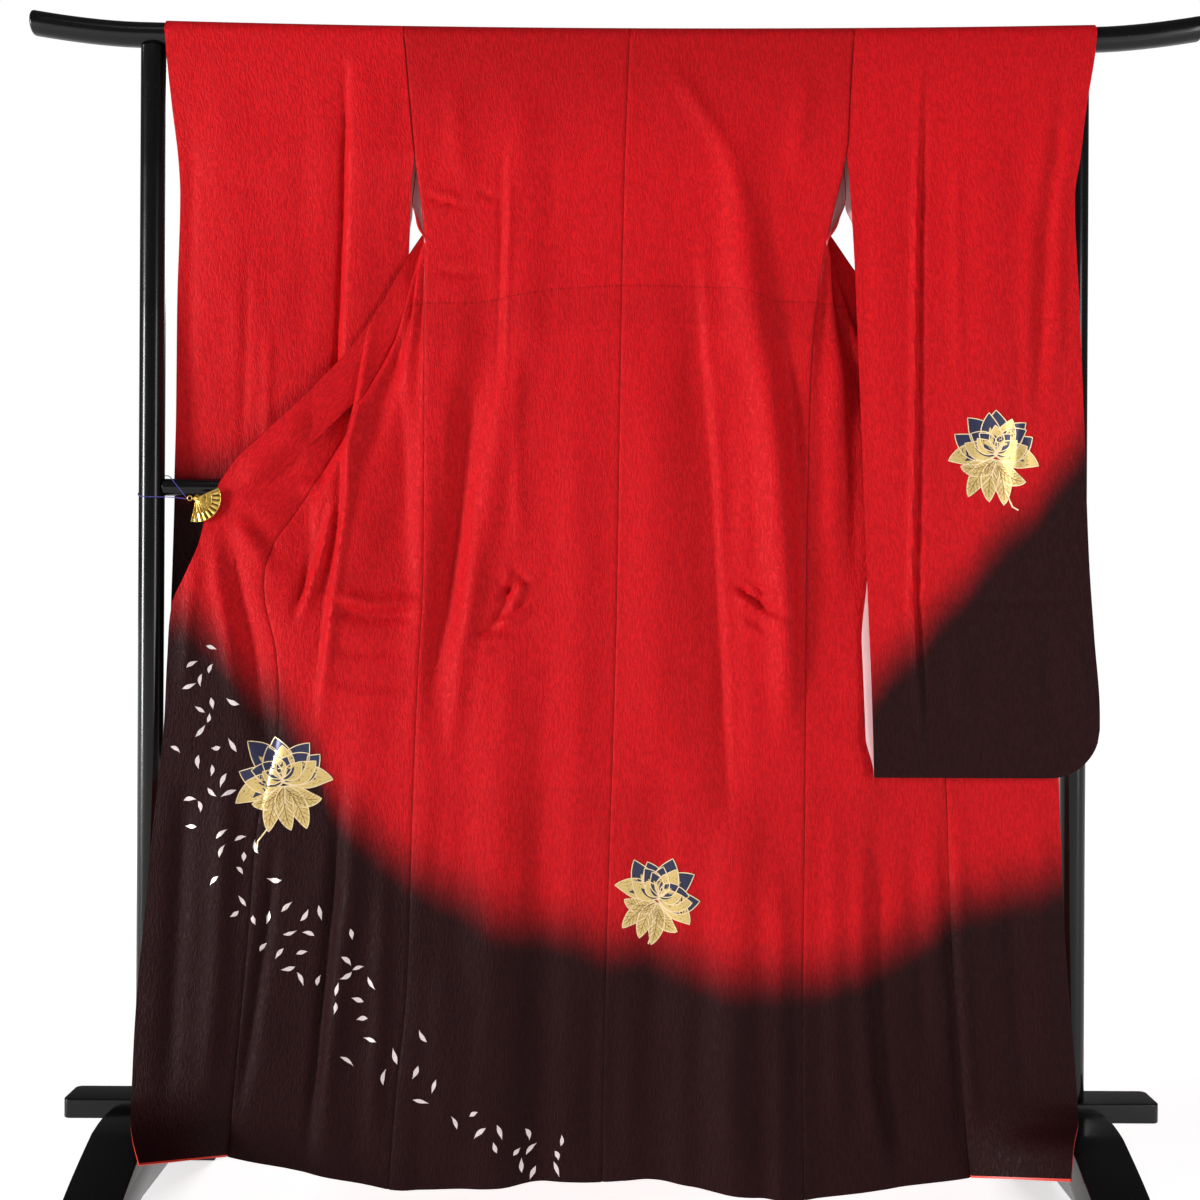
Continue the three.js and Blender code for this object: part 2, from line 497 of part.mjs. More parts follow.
// Inner edge of a sleeve's layer; beside the armhole the far layer follows the front's edge.
function sleeveInner(side, level, far) {
  if (far && level >= ARM_SEAM_END_Z) {
    const row = FRONT_ARM_EDGE[side];
    return vec(at(row, 'z', level, 'x'), at(row, 'z', level, 'y'), level);
  }
  const table = level >= ARM_SEAM_END_Z ? SIDE_SEAM[side] : SLEEVE_INNER[side];
  const y = at(table, 'z', level, 'y') + (far ? sleeveSpread(side, 0, level) : 0);
  return vec(at(table, 'z', level, 'x'), y, level);
}

// A point of a sleeve; u runs from its inner edge (0) to its outer edge (1).
function sleevePoint(side, u, level, far) {
  const foot = SLEEVE_FOOT_Z[side];
  const inner = sleeveInner(side, level, far);
  inner.x += outward[side] * HALF_SEAM;
  const outerTable = SLEEVE_OUTER[side];
  const width = Math.abs(outerTable.at(-1).x - inner.x);
  const cornerIn = Math.max(0, SLEEVE_ROUND - (1 - u) * width);
  const lift = SLEEVE_ROUND - Math.sqrt(SLEEVE_ROUND ** 2 - cornerIn ** 2);
  const share = (barZ(inner.x) - level) / (barZ(inner.x) - foot);
  const lifted = level + lift * share;
  let outerX = at(outerTable, 'z', lifted, 'x');
  if (far && side === 'right') outerX -= at(CUFF_DRAWN_IN, 'z', lifted, 'x');
  const x = lerp(inner.x, outerX, u);
  const z = lifted + (1 - share) * (barZ(x) - barZ(inner.x));
  const outerY = at(outerTable, 'z', lifted, 'y') + (far ? sleeveSpread(side, 1, lifted) : 0);
  const middle = far ? sleeveSpread(side, 0.5, lifted) : 0;
  const straight = far ? (sleeveSpread(side, 0, lifted) + sleeveSpread(side, 1, lifted)) / 2 : 0;
  const belly = SLEEVE_BELLY[side] * Math.sin(Math.PI * share) - (middle - straight);
  return vec(x, lerp(inner.y, outerY, u) - belly * Math.sin(Math.PI * u), z);
}

function sleeve(side) {
  const foot = SLEEVE_FOOT_Z[side];
  const levels = [...SLEEVE_LEVELS, (SLEEVE_LEVELS.at(-1) + foot) / 2, foot];
  const grid = [];
  for (const level of [...levels].reverse()) {
    grid.push(SLEEVE_COLUMNS.map((u) => sleevePoint(side, u, level, false)));
  }
  const wrapStart = grid.length;
  const innerX = SLEEVE_INNER[side][0].x + outward[side] * HALF_SEAM;
  for (let k = 0; k <= WRAP_STEPS; k += 1) {
    const turn = lerp(-1, 1, k / WRAP_STEPS);
    grid.push(SLEEVE_COLUMNS.map((u) => overBar(lerp(innerX, SLEEVE_OUTER[side][0].x, u), turn)));
  }
  const wrapEnd = grid.length - 1;
  for (const level of levels) grid.push(SLEEVE_COLUMNS.map((u) => sleevePoint(side, u, level, true)));
  const sewnRows = (i) => (i >= wrapStart - 4 && i <= wrapEnd + 4);
  return clothWall(grid, WALL, (i, j) => j === 0 && sewnRows(i));
}

// ---------------------------------------------------------------- the stand
function barSolid() {
  const points = [];
  for (let x = -BAR_HALF_LENGTH; x < -660; x += 22) points.push(vec(x, 0, barZ(x)));
  for (let x = -660; x <= 660; x += 110) points.push(vec(x, 0, barZ(x)));
  for (let x = BAR_HALF_LENGTH - 22 * 6; x < BAR_HALF_LENGTH; x += 22) points.push(vec(x, 0, barZ(x)));
  points.push(vec(BAR_HALF_LENGTH, 0, barZ(BAR_HALF_LENGTH)));
  const sides = 20;
  const positions = [];
  const triangles = [];
  points.forEach((p) => {
    for (let k = 0; k < sides; k += 1) {
      const angle = 2 * Math.PI * k / sides;
      positions.push(p.x, BAR_RADIUS * Math.sin(angle), p.z + BAR_RADIUS * Math.cos(angle));
    }
  });
  for (let i = 0; i < points.length - 1; i += 1) {
    for (let k = 0; k < sides; k += 1) {
      const a = i * sides + k;
      const b = i * sides + (k + 1) % sides;
      triangles.push(a, b, a + sides, b, b + sides, a + sides);
    }
  }
  const lastRing = (points.length - 1) * sides;
  for (let k = 1; k < sides - 1; k += 1) {
    triangles.push(0, k + 1, k);
    triangles.push(lastRing, lastRing + k, lastRing + k + 1);
  }
  return closedMesh(positions, triangles);
}

function roundedRod(radius, length, round) {
  const profile = [
    new THREE.Vector2(0, 0), new THREE.Vector2(radius - round, 0), new THREE.Vector2(radius, round),
    new THREE.Vector2(radius, length - round), new THREE.Vector2(radius - round, length),
    new THREE.Vector2(0, length),
  ];
  return new THREE.LatheGeometry(profile, 24).rotateX(Math.PI / 2);
}

function plankSolid() {
  const { length, depth, bottom, top, round } = PLANK;
  const outline = new THREE.Shape();
  const x = length / 2;
  const y = depth / 2;
  outline.moveTo(-x + round, -y);
  outline.lineTo(x - round, -y);
  outline.quadraticCurveTo(x, -y, x, -y + round);
  outline.lineTo(x, y - round);
  outline.quadraticCurveTo(x, y, x - round, y);
  outline.lineTo(-x + round, y);
  outline.quadraticCurveTo(-x, y, -x, y - round);
  outline.lineTo(-x, -y + round);
  outline.quadraticCurveTo(-x, -y, -x + round, -y);
  const geometry = new THREE.ExtrudeGeometry(outline, { depth: top - bottom, bevelEnabled: false, curveSegments: 4 });
  return geometry.translate(0, 0, bottom);
}

// Side view of a foot: an arch with a notch on top that the plank lies in.
function footOutline() {
  const { reach, sole, arch, crown } = FOOT;
  const notch = PLANK.depth / 2 + TOUCH;
  const seat = PLANK.bottom - TOUCH;
  const shape = new THREE.Shape();
  shape.moveTo(notch, seat);
  shape.lineTo(notch, crown - 1);
  shape.quadraticCurveTo(notch + 34, crown + 2.5, 102, 166);
  shape.bezierCurveTo(150, 147, 196, 128, 232, 103);
  shape.bezierCurveTo(258, 84, 284, 52, reach, 8);
  shape.lineTo(reach, 0);
  shape.lineTo(reach - sole, 0);
  shape.bezierCurveTo(212, 40, 176, 78, 124, arch);
  shape.lineTo(-124, arch);
  shape.bezierCurveTo(-176, 78, -212, 40, -(reach - sole), 0);
  shape.lineTo(-reach, 0);
  shape.lineTo(-reach, 8);
  shape.bezierCurveTo(-284, 52, -258, 84, -232, 103);
  shape.bezierCurveTo(-196, 128, -150, 147, -102, 166);
  shape.quadraticCurveTo(-(notch + 34), crown + 2.5, -notch, crown - 1);
  shape.lineTo(-notch, seat);
  shape.closePath();
  return shape;
}

function footSolid(side) {
  const [low, high] = FOOT_X[side];
  const geometry = new THREE.ExtrudeGeometry(footOutline(), {
    depth: high - low, bevelEnabled: false, curveSegments: 8,
  });
  geometry.rotateX(Math.PI / 2).rotateZ(Math.PI / 2);
  return geometry.translate(low, 0, 0);
}

// ---------------------------------------------------------------- clip and cord
const CLIP_PIVOT = vec(-573, -31, 1012);
const FAN = { inner: 6.4, outer: 33, from: 24, spread: 126, pleats: 9, rise: 1.1, wall: 1.4 };
const RING = { radius: 3.2, wire: 0.8 };
const JAW = { length: 30, width: 9, wall: 1.2, knuckle: 4, behind: 10.9 };
const CORD_RADIUS = 0.6;

// The folding-fan plate of the clip, pleated, in a plane facing the viewer.
function fanSolid() {
  const count = FAN.pleats * 2;
  const grid = [];
  for (let i = 0; i <= count; i += 1) {
    const angle = THREE.MathUtils.degToRad(FAN.from - FAN.spread * i / count);
    const lift = (i % 2 ? 1 : -1) * FAN.rise;
    grid.push([FAN.inner, FAN.outer * 0.45, FAN.outer].map((r, k) => vec(
      CLIP_PIVOT.x + r * Math.cos(angle),
      CLIP_PIVOT.y + lift * (0.2 + 0.4 * k),
      CLIP_PIVOT.z + r * Math.sin(angle),
    )));
  }
  return clothWall(grid, FAN.wall);
}

function ringSolid() {
  const ring = new THREE.TorusGeometry(RING.radius, RING.wire, 8, 20).rotateX(Math.PI / 2);
  const knuckle = Math.hypot(JAW.knuckle, JAW.width / 2);
  const out = knuckle + TOUCH + RING.radius + RING.wire;
  return ring.translate(CLIP_PIVOT.x - out, CLIP_PIVOT.y + 1, CLIP_PIVOT.z);
}

// The jaw behind the cloth, with the knuckle that carries the fan.
function jawSolid() {
  const { length, width, wall, knuckle, behind } = JAW;
  const front = -(FAN.wall / 2 + TOUCH);
  const shape = new THREE.Shape();
  shape.moveTo(-knuckle, front);
  shape.lineTo(knuckle, front);
  shape.lineTo(knuckle, behind);
  shape.lineTo(length, behind);
  shape.lineTo(length, behind + wall);
  shape.lineTo(-knuckle, behind + wall);
  shape.closePath();
  const geometry = new THREE.ExtrudeGeometry(shape, { depth: width, bevelEnabled: false });
  geometry.translate(0, 0, -width / 2).rotateY(THREE.MathUtils.degToRad(39));
  return geometry.translate(CLIP_PIVOT.x, CLIP_PIVOT.y, CLIP_PIVOT.z);
}

// The cord: from the ring round the left post and back to the ring.
const CORD_ROUTE = [
  { x: -588.4, y: -30.4, z: 1011 }, { x: -605, y: -27, z: 1013.4 }, { x: -625, y: -22, z: 1014 },
  { x: -645, y: -18.6, z: 1014.5 }, { x: -652.1, y: -17.2, z: 1015 }, { x: -658.2, y: -13.2, z: 1016 },
  { x: -662.2, y: -7.1, z: 1018 }, { x: -663.6, y: 0, z: 1021 }, { x: -662.2, y: 7.1, z: 1025 },
  { x: -658.2, y: 13.2, z: 1030 }, { x: -652.1, y: 17.2, z: 1036 }, { x: -645, y: 18.6, z: 1041 },
  { x: -637.9, y: 17.2, z: 1044.5 }, { x: -630.5, y: 12, z: 1046.2 }, { x: -624, y: 5, z: 1045.6 },
  { x: -619, y: -3, z: 1043.6 }, { x: -613, y: -10.5, z: 1039 }, { x: -603, y: -19.5, z: 1028 },
  { x: -588.6, y: -30, z: 1013.6 },
];

function cordSolid() {
  const curve = new THREE.CatmullRomCurve3(CORD_ROUTE.map((p) => vec(p.x, p.y, p.z)), false, 'centripetal');
  const section = new THREE.Shape();
  section.absarc(0, 0, CORD_RADIUS, 0, 2 * Math.PI, false);
  return new THREE.ExtrudeGeometry(section, {
    extrudePath: curve, steps: 60, bevelEnabled: false, curveSegments: 4,
  });
}

// ---------------------------------------------------------------- the part
const crepeRed = { color: 0xb0121c, roughness: 0.72, metalness: 0 };
const lacquer = { color: 0x08080a, roughness: 0.14, metalness: 0 };
const gilt = { color: 0xd0ac5c, roughness: 0.32, metalness: 1 };
const cordBlue = { color: 0x22264a, roughness: 0.8, metalness: 0 };

const part = new THREE.Group();

function add(name, geometry, finish) {
  const bare = geometry;
  bare.deleteAttribute('normal');
  bare.deleteAttribute('uv');
  const merged = mergeVertices(bare, 1e-3);
  const mesh = new THREE.Mesh(merged, new THREE.MeshStandardMaterial({ ...finish, name }));
  mesh.name = name;
  part.add(mesh);
  return mesh;
}

for (const side of ['left', 'right']) {
  add(`body_${side}`, body(side), crepeRed);
  add(`okumi_${side}`, overlap(side), crepeRed);
  add(`sleeve_${side}`, sleeve(side), crepeRed);
  const postFoot = PLANK.top + TOUCH;
  const postTop = barZ(Math.abs(POST_X[side]) - POST_RADIUS) - BAR_RADIUS - TOUCH;
  add(`post_${side}`, roundedRod(POST_RADIUS, postTop - postFoot, 0.8), lacquer)
    .position.set(POST_X[side], 0, postFoot);
  add(`foot_${side}`, footSolid(side), lacquer);
}
add('collar', collarBand(), crepeRed);
add('top_bar', barSolid(), lacquer);
const railStart = POST_X.left + POST_RADIUS + TOUCH;
const railLength = POST_X.right - POST_RADIUS - TOUCH - railStart;
const rail = add('mid_rail', roundedRod(RAIL_RADIUS, railLength, 0.5), lacquer);
rail.rotation.y = Math.PI / 2;
rail.position.set(railStart, 0, RAIL_Z);
add('plank', plankSolid(), lacquer);
add('clip_fan', fanSolid(), gilt);
add('clip_jaw', jawSolid(), gilt);
add('clip_ring', ringSolid(), gilt);
add('clip_cord', cordSolid(), cordBlue);

export default part;
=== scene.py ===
"""The looks of the furisode kimono on its stand. Tables are in millimetres, Blender objects in metres."""
import math

import bmesh
import bpy
import numpy as np
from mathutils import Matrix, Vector
from mathutils.bvhtree import BVHTree


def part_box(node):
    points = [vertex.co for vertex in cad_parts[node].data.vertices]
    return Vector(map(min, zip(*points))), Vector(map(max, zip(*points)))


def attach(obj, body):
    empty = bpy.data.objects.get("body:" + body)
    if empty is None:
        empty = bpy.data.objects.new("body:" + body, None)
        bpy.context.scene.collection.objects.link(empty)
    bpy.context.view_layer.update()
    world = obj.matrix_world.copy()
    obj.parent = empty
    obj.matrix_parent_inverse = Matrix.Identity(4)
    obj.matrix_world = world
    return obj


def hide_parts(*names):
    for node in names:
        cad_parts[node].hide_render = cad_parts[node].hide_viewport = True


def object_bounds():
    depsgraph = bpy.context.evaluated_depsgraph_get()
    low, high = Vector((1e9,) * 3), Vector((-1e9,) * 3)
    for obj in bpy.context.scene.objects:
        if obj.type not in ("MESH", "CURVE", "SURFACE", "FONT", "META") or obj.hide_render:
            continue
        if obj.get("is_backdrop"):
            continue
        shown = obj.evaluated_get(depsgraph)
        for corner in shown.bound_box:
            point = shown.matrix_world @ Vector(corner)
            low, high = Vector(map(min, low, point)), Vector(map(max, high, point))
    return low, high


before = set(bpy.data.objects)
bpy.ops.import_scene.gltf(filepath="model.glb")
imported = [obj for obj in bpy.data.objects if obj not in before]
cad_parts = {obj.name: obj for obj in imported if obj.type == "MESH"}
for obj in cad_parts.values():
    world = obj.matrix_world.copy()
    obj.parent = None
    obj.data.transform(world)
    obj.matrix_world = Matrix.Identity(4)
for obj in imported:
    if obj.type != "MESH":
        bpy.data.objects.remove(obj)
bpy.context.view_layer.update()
MM = 0.001

# ------------------------------------------------------------------ camera
CAMERA_AT, CAMERA_ROLL = (-19, -2000, 875), -0.3
FRAME_WIDTH = 1674            # what the frame spans at the plane y = 0
SENSOR_WIDTH = 36
camera_data = bpy.data.cameras.new("camera")
camera_data.sensor_width = SENSOR_WIDTH
camera_data.lens = SENSOR_WIDTH * -CAMERA_AT[1] / FRAME_WIDTH
camera = bpy.data.objects.new("camera", camera_data)
camera.location = Vector(CAMERA_AT) * MM
camera.rotation_euler = (math.radians(90), math.radians(CAMERA_ROLL), 0)
bpy.context.scene.collection.objects.link(camera)
bpy.context.scene.camera = camera


# ------------------------------------------------------------------ node helpers
class Shader:
    """A material with one Principled shader, and short calls to add nodes to it."""

    def __init__(self, name):
        self.material = bpy.data.materials.new(name)
        self.material.use_nodes = True
        self.tree = self.material.node_tree
        self.bsdf = self.tree.nodes["Principled BSDF"]

    def node(self, kind, inputs=(), **settings):
        made = self.tree.nodes.new("ShaderNode" + kind)
        for key, value in settings.items():
            setattr(made, key, value)
        for key, value in dict(inputs).items():
            self.put(made.inputs[key], value)
        return made

    def put(self, socket, value):
        if isinstance(value, bpy.types.NodeSocket):
            self.tree.links.new(value, socket)
        else:
            socket.default_value = value

    def set(self, **inputs):
        for key, value in inputs.items():
            self.put(self.bsdf.inputs[key.replace("_", " ")], value)

    def attribute(self, name):
        return self.node("Attribute", attribute_name=name).outputs["Fac"]

    def place(self):
        return self.node("TexCoord").outputs["Object"]

    def uv(self, across, along):
        coordinates = self.node("TexCoord").outputs["UV"]
        return self.node("Mapping", {"Vector": coordinates, "Scale": (across, along, 1)}).outputs["Vector"]

    def noise(self, vector, scale=1.0, detail=2.0, roughness=0.5, distortion=0.0):
        return self.node("TexNoise", {
            "Vector": vector, "Scale": scale, "Detail": detail, "Roughness": roughness,
            "Distortion": distortion}).outputs["Fac"]

    def math(self, operation, a, b=0.0):
        return self.node("Math", {0: a, 1: b}, operation=operation).outputs[0]

    def times(self, product, *factors):
        for factor in factors:
            product = self.math("MULTIPLY", product, factor)
        return product

    def ramp(self, value, low, high, to_low=0.0, to_high=1.0, kind="SMOOTHSTEP"):
        return self.node("MapRange", {
            "Value": value, "From Min": low, "From Max": high, "To Min": to_low, "To Max": to_high,
        }, interpolation_type=kind).outputs["Result"]

    def mix(self, factor, a, b, how="MIX"):
        return self.node("Mix", {0: factor, 6: a, 7: b}, data_type="RGBA", blend_type=how).outputs[2]

    def bump(self, height, distance, strength):
        inputs = {"Height": height, "Distance": distance, "Strength": strength}
        return self.node("Bump", inputs).outputs["Normal"]


def srgb(red, green, blue):
    channels = (c / 255 for c in (red, green, blue))
    return (*((c / 12.92 if c < 0.04045 else ((c + 0.055) / 1.055) ** 2.4) for c in channels), 1.0)


def grey(value, blue=None):
    return (value, value, value if blue is None else blue, 1)


# ------------------------------------------------------------------ materials
def crepe(name, light, dark, dyed=True):
    """Wrinkled silk crepe: long uneven ribs down the cloth, a grain, a soft sheen, and the graded dye.
    Painted shade darkens the hollows of its ribs and grain, and the crepe towards the shoulders. Darker lines
    follow its stitches and its sewn edges, and a painted shadow line follows an overlap's free edge."""
    s = Shader(name)
    ribs = s.noise(s.uv(300, 98), roughness=0.55, distortion=0.9)
    grain = s.noise(s.uv(820, 560), detail=1.5)
    colour = light
    if dyed:
        wander = s.ramp(s.noise(s.uv(9, 5)), 0.3, 0.7, -9.0, 9.0, kind="LINEAR")
        colour = s.mix(s.ramp(s.math("ADD", s.attribute("dye"), wander), -62.0, 54.0), light, dark)
    tuck = s.attribute("tuck")
    double = s.times(s.ramp(tuck, -54.0, -50.0), s.ramp(tuck, -1.0, 1.0, 1.0, 0.0))
    stitch = s.ramp(s.noise(s.uv(300, 8), detail=1.0), 0.4, 0.6, 0.62, 0.86)
    # Painted shade: the hollows of the ribs and grain come out darker, and so does the crepe towards the
    # shoulders; the edge value darkens sewn edges and draws a painted shadow line along an overlap's free
    # edge.
    tone_and_painted_shade = s.times(
        s.ramp(ribs, 0.36, 0.62, 0.84, 1.08), s.ramp(grain, 0.3, 0.7, 0.93, 1.06),
        s.ramp(double, 0.0, 1.0, 1.0, 0.93), s.ramp(s.attribute("hakkake"), -4.0, 4.0, 1.0, 0.955),
        s.ramp(s.math("ABSOLUTE", tuck), 0.4, 1.7, stitch, 1.0),
        s.ramp(s.attribute("edge"), 0.2, 1.6, 0.42, 1.0), s.ramp(s.attribute("painted_top_shade"), 0.0, 1.0, 1.0, 0.77))
    tone_and_painted_shade_colour = s.node("CombineColor", {0: tone_and_painted_shade, 1: tone_and_painted_shade, 2: tone_and_painted_shade}).outputs[0]
    height = s.math("ADD", s.ramp(ribs, 0.34, 0.66), s.math("MULTIPLY", grain, 0.35))
    s.set(Base_Color=s.mix(1.0, colour, tone_and_painted_shade_colour, "MULTIPLY"), Normal=s.bump(height, 0.0007, 0.7))
    s.set(Roughness=s.ramp(ribs, 0.3, 0.7, 0.62, 0.50), Specular_IOR_Level=0.07)
    s.set(Sheen_Weight=0.03, Sheen_Roughness=0.4, Sheen_Tint=(1.0, 0.35, 0.33, 1))
    return s.material


def satin(name, colour, low_colour):
    """Lining silk: a fine plain weave with a soft gloss, in two cloths joined at a height."""
    s = Shader(name)
    weave = s.noise(s.uv(1500, 1500), detail=1.0)
    crush = s.noise(s.uv(30, 12), detail=3.0)
    base = s.mix(s.ramp(s.attribute("hakkake"), -0.6, 0.6), colour, low_colour)
    base = s.mix(s.ramp(crush, 0.3, 0.7, 0.0, 0.18), base, (0.35, 0.18, 0.18, 1), "MULTIPLY")
    height = s.math("ADD", s.math("MULTIPLY", weave, 0.15), crush)
    s.set(Base_Color=base, Roughness=0.44, Normal=s.bump(height, 0.0006, 0.5))
    s.set(Sheen_Weight=0.15, Sheen_Roughness=0.4)
    return s.material


def lacquer():
    """Black lacquer, polished to a deep gloss with a faint unevenness and dust in the coat."""
    s = Shader("lacquer")
    wave = s.noise(s.place(), scale=9.0)
    dust = s.ramp(s.noise(s.place(), scale=260.0), 0.62, 0.8, 0.0, 0.5)
    s.set(Base_Color=s.mix(dust, grey(0.0035, 0.004), grey(0.02, 0.022)))
    s.set(Roughness=s.ramp(wave, 0.3, 0.7, 0.18, 0.25), Normal=s.bump(wave, 0.0009, 0.18))
    s.set(Coat_Weight=0.12, Coat_Roughness=0.06, Specular_IOR_Level=0.22)
    return s.material


def gilt():
    """Gilt metal, brushed along the fan's slats and darkened in the hollows of its leaf."""
    s = Shader("gilt")
    brushed = s.noise(s.uv(14, 60), detail=3.0)
    cloud = s.ramp(s.noise(s.place(), scale=160.0), 0.35, 0.65)
    tone = s.mix(cloud, srgb(184, 146, 62), srgb(224, 188, 104))
    s.set(Base_Color=s.mix(s.attribute("groove"), tone, srgb(58, 40, 14)), Metallic=1.0)
    s.set(Roughness=s.ramp(brushed, 0.3, 0.7, 0.2, 0.42), Normal=s.bump(brushed, 0.00015, 0.4))
    return s.material


def twisted_cord():
    """Two-ply cord: its strands wind round it in two blues."""
    s = Shader("cord")
    strand = {"Vector": s.uv(1, 1), "Scale": 90.0, "Distortion": 0.4}
    ply = s.node("TexWave", strand, bands_direction="DIAGONAL").outputs["Fac"]
    s.set(Base_Color=s.mix(ply, srgb(36, 32, 112), srgb(78, 68, 172)), Roughness=0.7, Sheen_Weight=0.1)
    s.set(Normal=s.bump(ply, 0.0003, 0.6))
    return s.material


def foil(name, light, dark, streaks, metal, cover):
    """Pressed metal foil: bright where it lies whole, with fine streaks of the ground showing."""
    s = Shader(name)
    streak = s.noise(s.uv(*streaks), detail=3.0, roughness=0.6, distortion=0.6)
    speck = s.noise(s.place(), scale=900.0)
    whole = s.ramp(s.math("ADD", streak, s.math("MULTIPLY", speck, 0.25)), cover - 0.06, cover + 0.1)
    s.set(Base_Color=s.mix(whole, srgb(*dark), srgb(*light)), Roughness=0.36)
    s.set(Metallic=s.ramp(whole, 0.0, 1.0, 0.1, metal), Normal=s.bump(streak, 0.0002, 0.5))
    return s.material


RED, BROWN = srgb(182, 16, 23), srgb(34, 10, 12)
CREPE = crepe("crepe", RED, BROWN)
COLLAR_CREPE = crepe("collar_crepe", RED, BROWN, dyed=False)
LINING = satin("lining_silk", srgb(226, 176, 178), srgb(206, 42, 26))
EDGE_ROLL = satin("edge_roll", srgb(196, 22, 26), srgb(214, 48, 28))
SLEEVE_LINING = satin("sleeve_lining", srgb(232, 186, 188), srgb(232, 186, 188))
LACQUER, GILT, CORD = lacquer(), gilt(), twisted_cord()
GOLD_FOIL = foil("gold_foil", (214, 186, 118), (112, 74, 44), (7, 20), 0.6, 0.47)
GOLD_LINE = foil("gold_line", (232, 206, 162), (176, 132, 92), (9, 26), 0.4, 0.3)
BRONZE = foil("bronze_line", (132, 96, 52), (84, 58, 34), (9, 26), 0.5, 0.4)
NAVY = foil("navy_foil", (44, 46, 74), (22, 24, 44), (5, 12), 0.35, 0.5)
SILVER = foil("silver_foil", (222, 208, 206), (128, 104, 106), (5, 16), 0.4, 0.47)


# ------------------------------------------------------------------ tables of the hanging cloth
def table(names, *rows):
    return dict(zip(names.split(), np.array(rows, float).T))


def at(rows, key, value, column):
    """Smooth value of one column of a table by its key column, for numbers or arrays."""
    keys, values = rows[key], rows[column]
    if keys[-1] < keys[0]:
        keys, values = keys[::-1], values[::-1]
    last = len(keys) - 1
    index = np.arange(last + 1)
    before, after = np.maximum(index - 1, 0), np.minimum(index + 1, last)
    slope = (values[after] - values[before]) / (keys[after] - keys[before])
    value = np.clip(value, keys[0], keys[last])
    i = np.clip(np.searchsorted(keys, value, side="right") - 1, 0, last - 1)
    span = keys[i + 1] - keys[i]
    t = (value - keys[i]) / span
    t2, t3 = t * t, t * t * t
    return (values[i] * (2 * t3 - 3 * t2 + 1) + slope[i] * span * (t3 - 2 * t2 + t)
            + values[i + 1] * (3 * t2 - 2 * t3) + slope[i + 1] * span * (t3 - t2))


WALL, HALF_SEAM, BAR_RADIUS = 1.8, 0.02, 17
WRAP = BAR_RADIUS + 0.7 + WALL / 2
LEFT, RIGHT = "left", "right"
OUTWARD = {LEFT: -1, RIGHT: 1}
CENTRE_SEAM = table(
    "z x y", (1660, 18, -18.6), (1482, 12, -24), (1311, 9, -28), (1067, 6, -36), (875, 4, -38),
    (684, 0, -40), (465, -6, -42), (261, -10, -46), (60, -12, -44))
SIDE_SEAM = {
    LEFT: table(
        "z x y", (1660, -295, -18.6), (1564, -286, -20), (1495, -279, -21), (1376, -264, -23.5),
        (1286, -263, -28), (1066, -261.5, -34), (887, -262, -38), (764, -268, -40), (561, -274, -44),
        (346, -279, -50), (203, -292, -57), (60, -302, -61)),
    RIGHT: table(
        "z x y", (1660, 328, -18.6), (1567, 323, -20), (1497, 319, -21), (1376, 293, -23.5),
        (1263, 275, -28), (1151, 268, -32), (877, 263, -38), (603, 262, -44), (274, 258, -60),
        (60, 260, -70)),
}
BACK_HEM = table(
    "x z", (-304, 76), (-258, 75), (-152, 78), (-107, 82), (-20, 81), (47, 86), (94, 82), (160, 74),
    (254, 68), (340, 71))
# Lengths s run down a front from the bar: where its side seam and its open armhole begin, and its hem.
SIDE_TOP_S, SIDE_TOP_Z, ARM_SEAM_END_S, FRONT_LENGTH = 290, 1376, 175, 1618
DRAWN_OUT_S = 300                        # below it the fronts are drawn out past the back and seen
BARE_TO_S, FREE_EDGE_SHADOW_TO_S = 520, 720     # the overlap's seam shows below one; above the other its free edge gets a painted shadow line
PAINTED_SHADE_FROM_Z, PAINTED_SHADE_OVER = 1450, 200       # painted shade: the crepe is darkened a little towards the shoulders
FRONT_ARM_EDGE = {
    LEFT: table(
        "s x y z", (0, -295, 18.6, 1653.6), (60, -291, 17, 1597), (115, -286, 13, 1543), (175, -279, 7, 1485),
        (205, -281, 4, 1456), (236, -283, 1, 1426), (262, -274, -10, 1401), (290, -264, -23.5, 1376)),
    RIGHT: table(
        "s x y z", (0, 328, 18.6, 1653.9), (60, 325.5, 17, 1597), (115, 323, 13, 1543), (175, 319, 7, 1485),
        (205, 320, 1, 1456), (236, 318, -4, 1426), (262, 306, -14, 1401), (290, 293, -23.5, 1376)),
}
SIDE_HEM_Z = {LEFT: 76, RIGHT: 68}
OVERLAP_POINT_S, OVERLAP_TIP, COLLAR_END_S = 230, 2, 840
OVERLAP_SEAM = {
    LEFT: table(
        "s x y z", (0, -86, 18.6, 1652.4), (115, -162, 17, 1546), (230, -233, 14, 1438), (300, -263, 7, 1371),
        (350, -283, 0, 1306), (420, -308, -7, 1232), (500, -350, -14, 1150), (600, -396, -21, 1066),
        (700, -446, -25, 987), (760, -473, -27, 943), (840, -481, -29, 880), (920, -463, -32, 799),
        (1030, -460, -35, 690), (1155, -486, -38, 566), (1280, -495, -42, 442), (1400, -504, -47, 322),
        (1494, -512, -50, 234), (1618, -521, -54, 117)),
    RIGHT: table(
        "s x y z", (0, 120, 18.6, 1652.6), (115, 193, 17, 1549), (230, 263, 14, 1444), (300, 294, 13, 1370),
        (350, 314, 8, 1310), (420, 345, -1, 1235), (500, 385, -9, 1155), (600, 425, -18, 1062),
        (700, 453, -24, 977), (760, 460, -27, 925), (840, 460, -29, 860), (920, 457, -31, 790),
        (1030, 454, -34, 690), (1155, 459, -37, 565), (1280, 463, -41, 440), (1400, 471, -44, 318),
        (1494, 478, -48, 220), (1618, 487, -57, 95)),
}
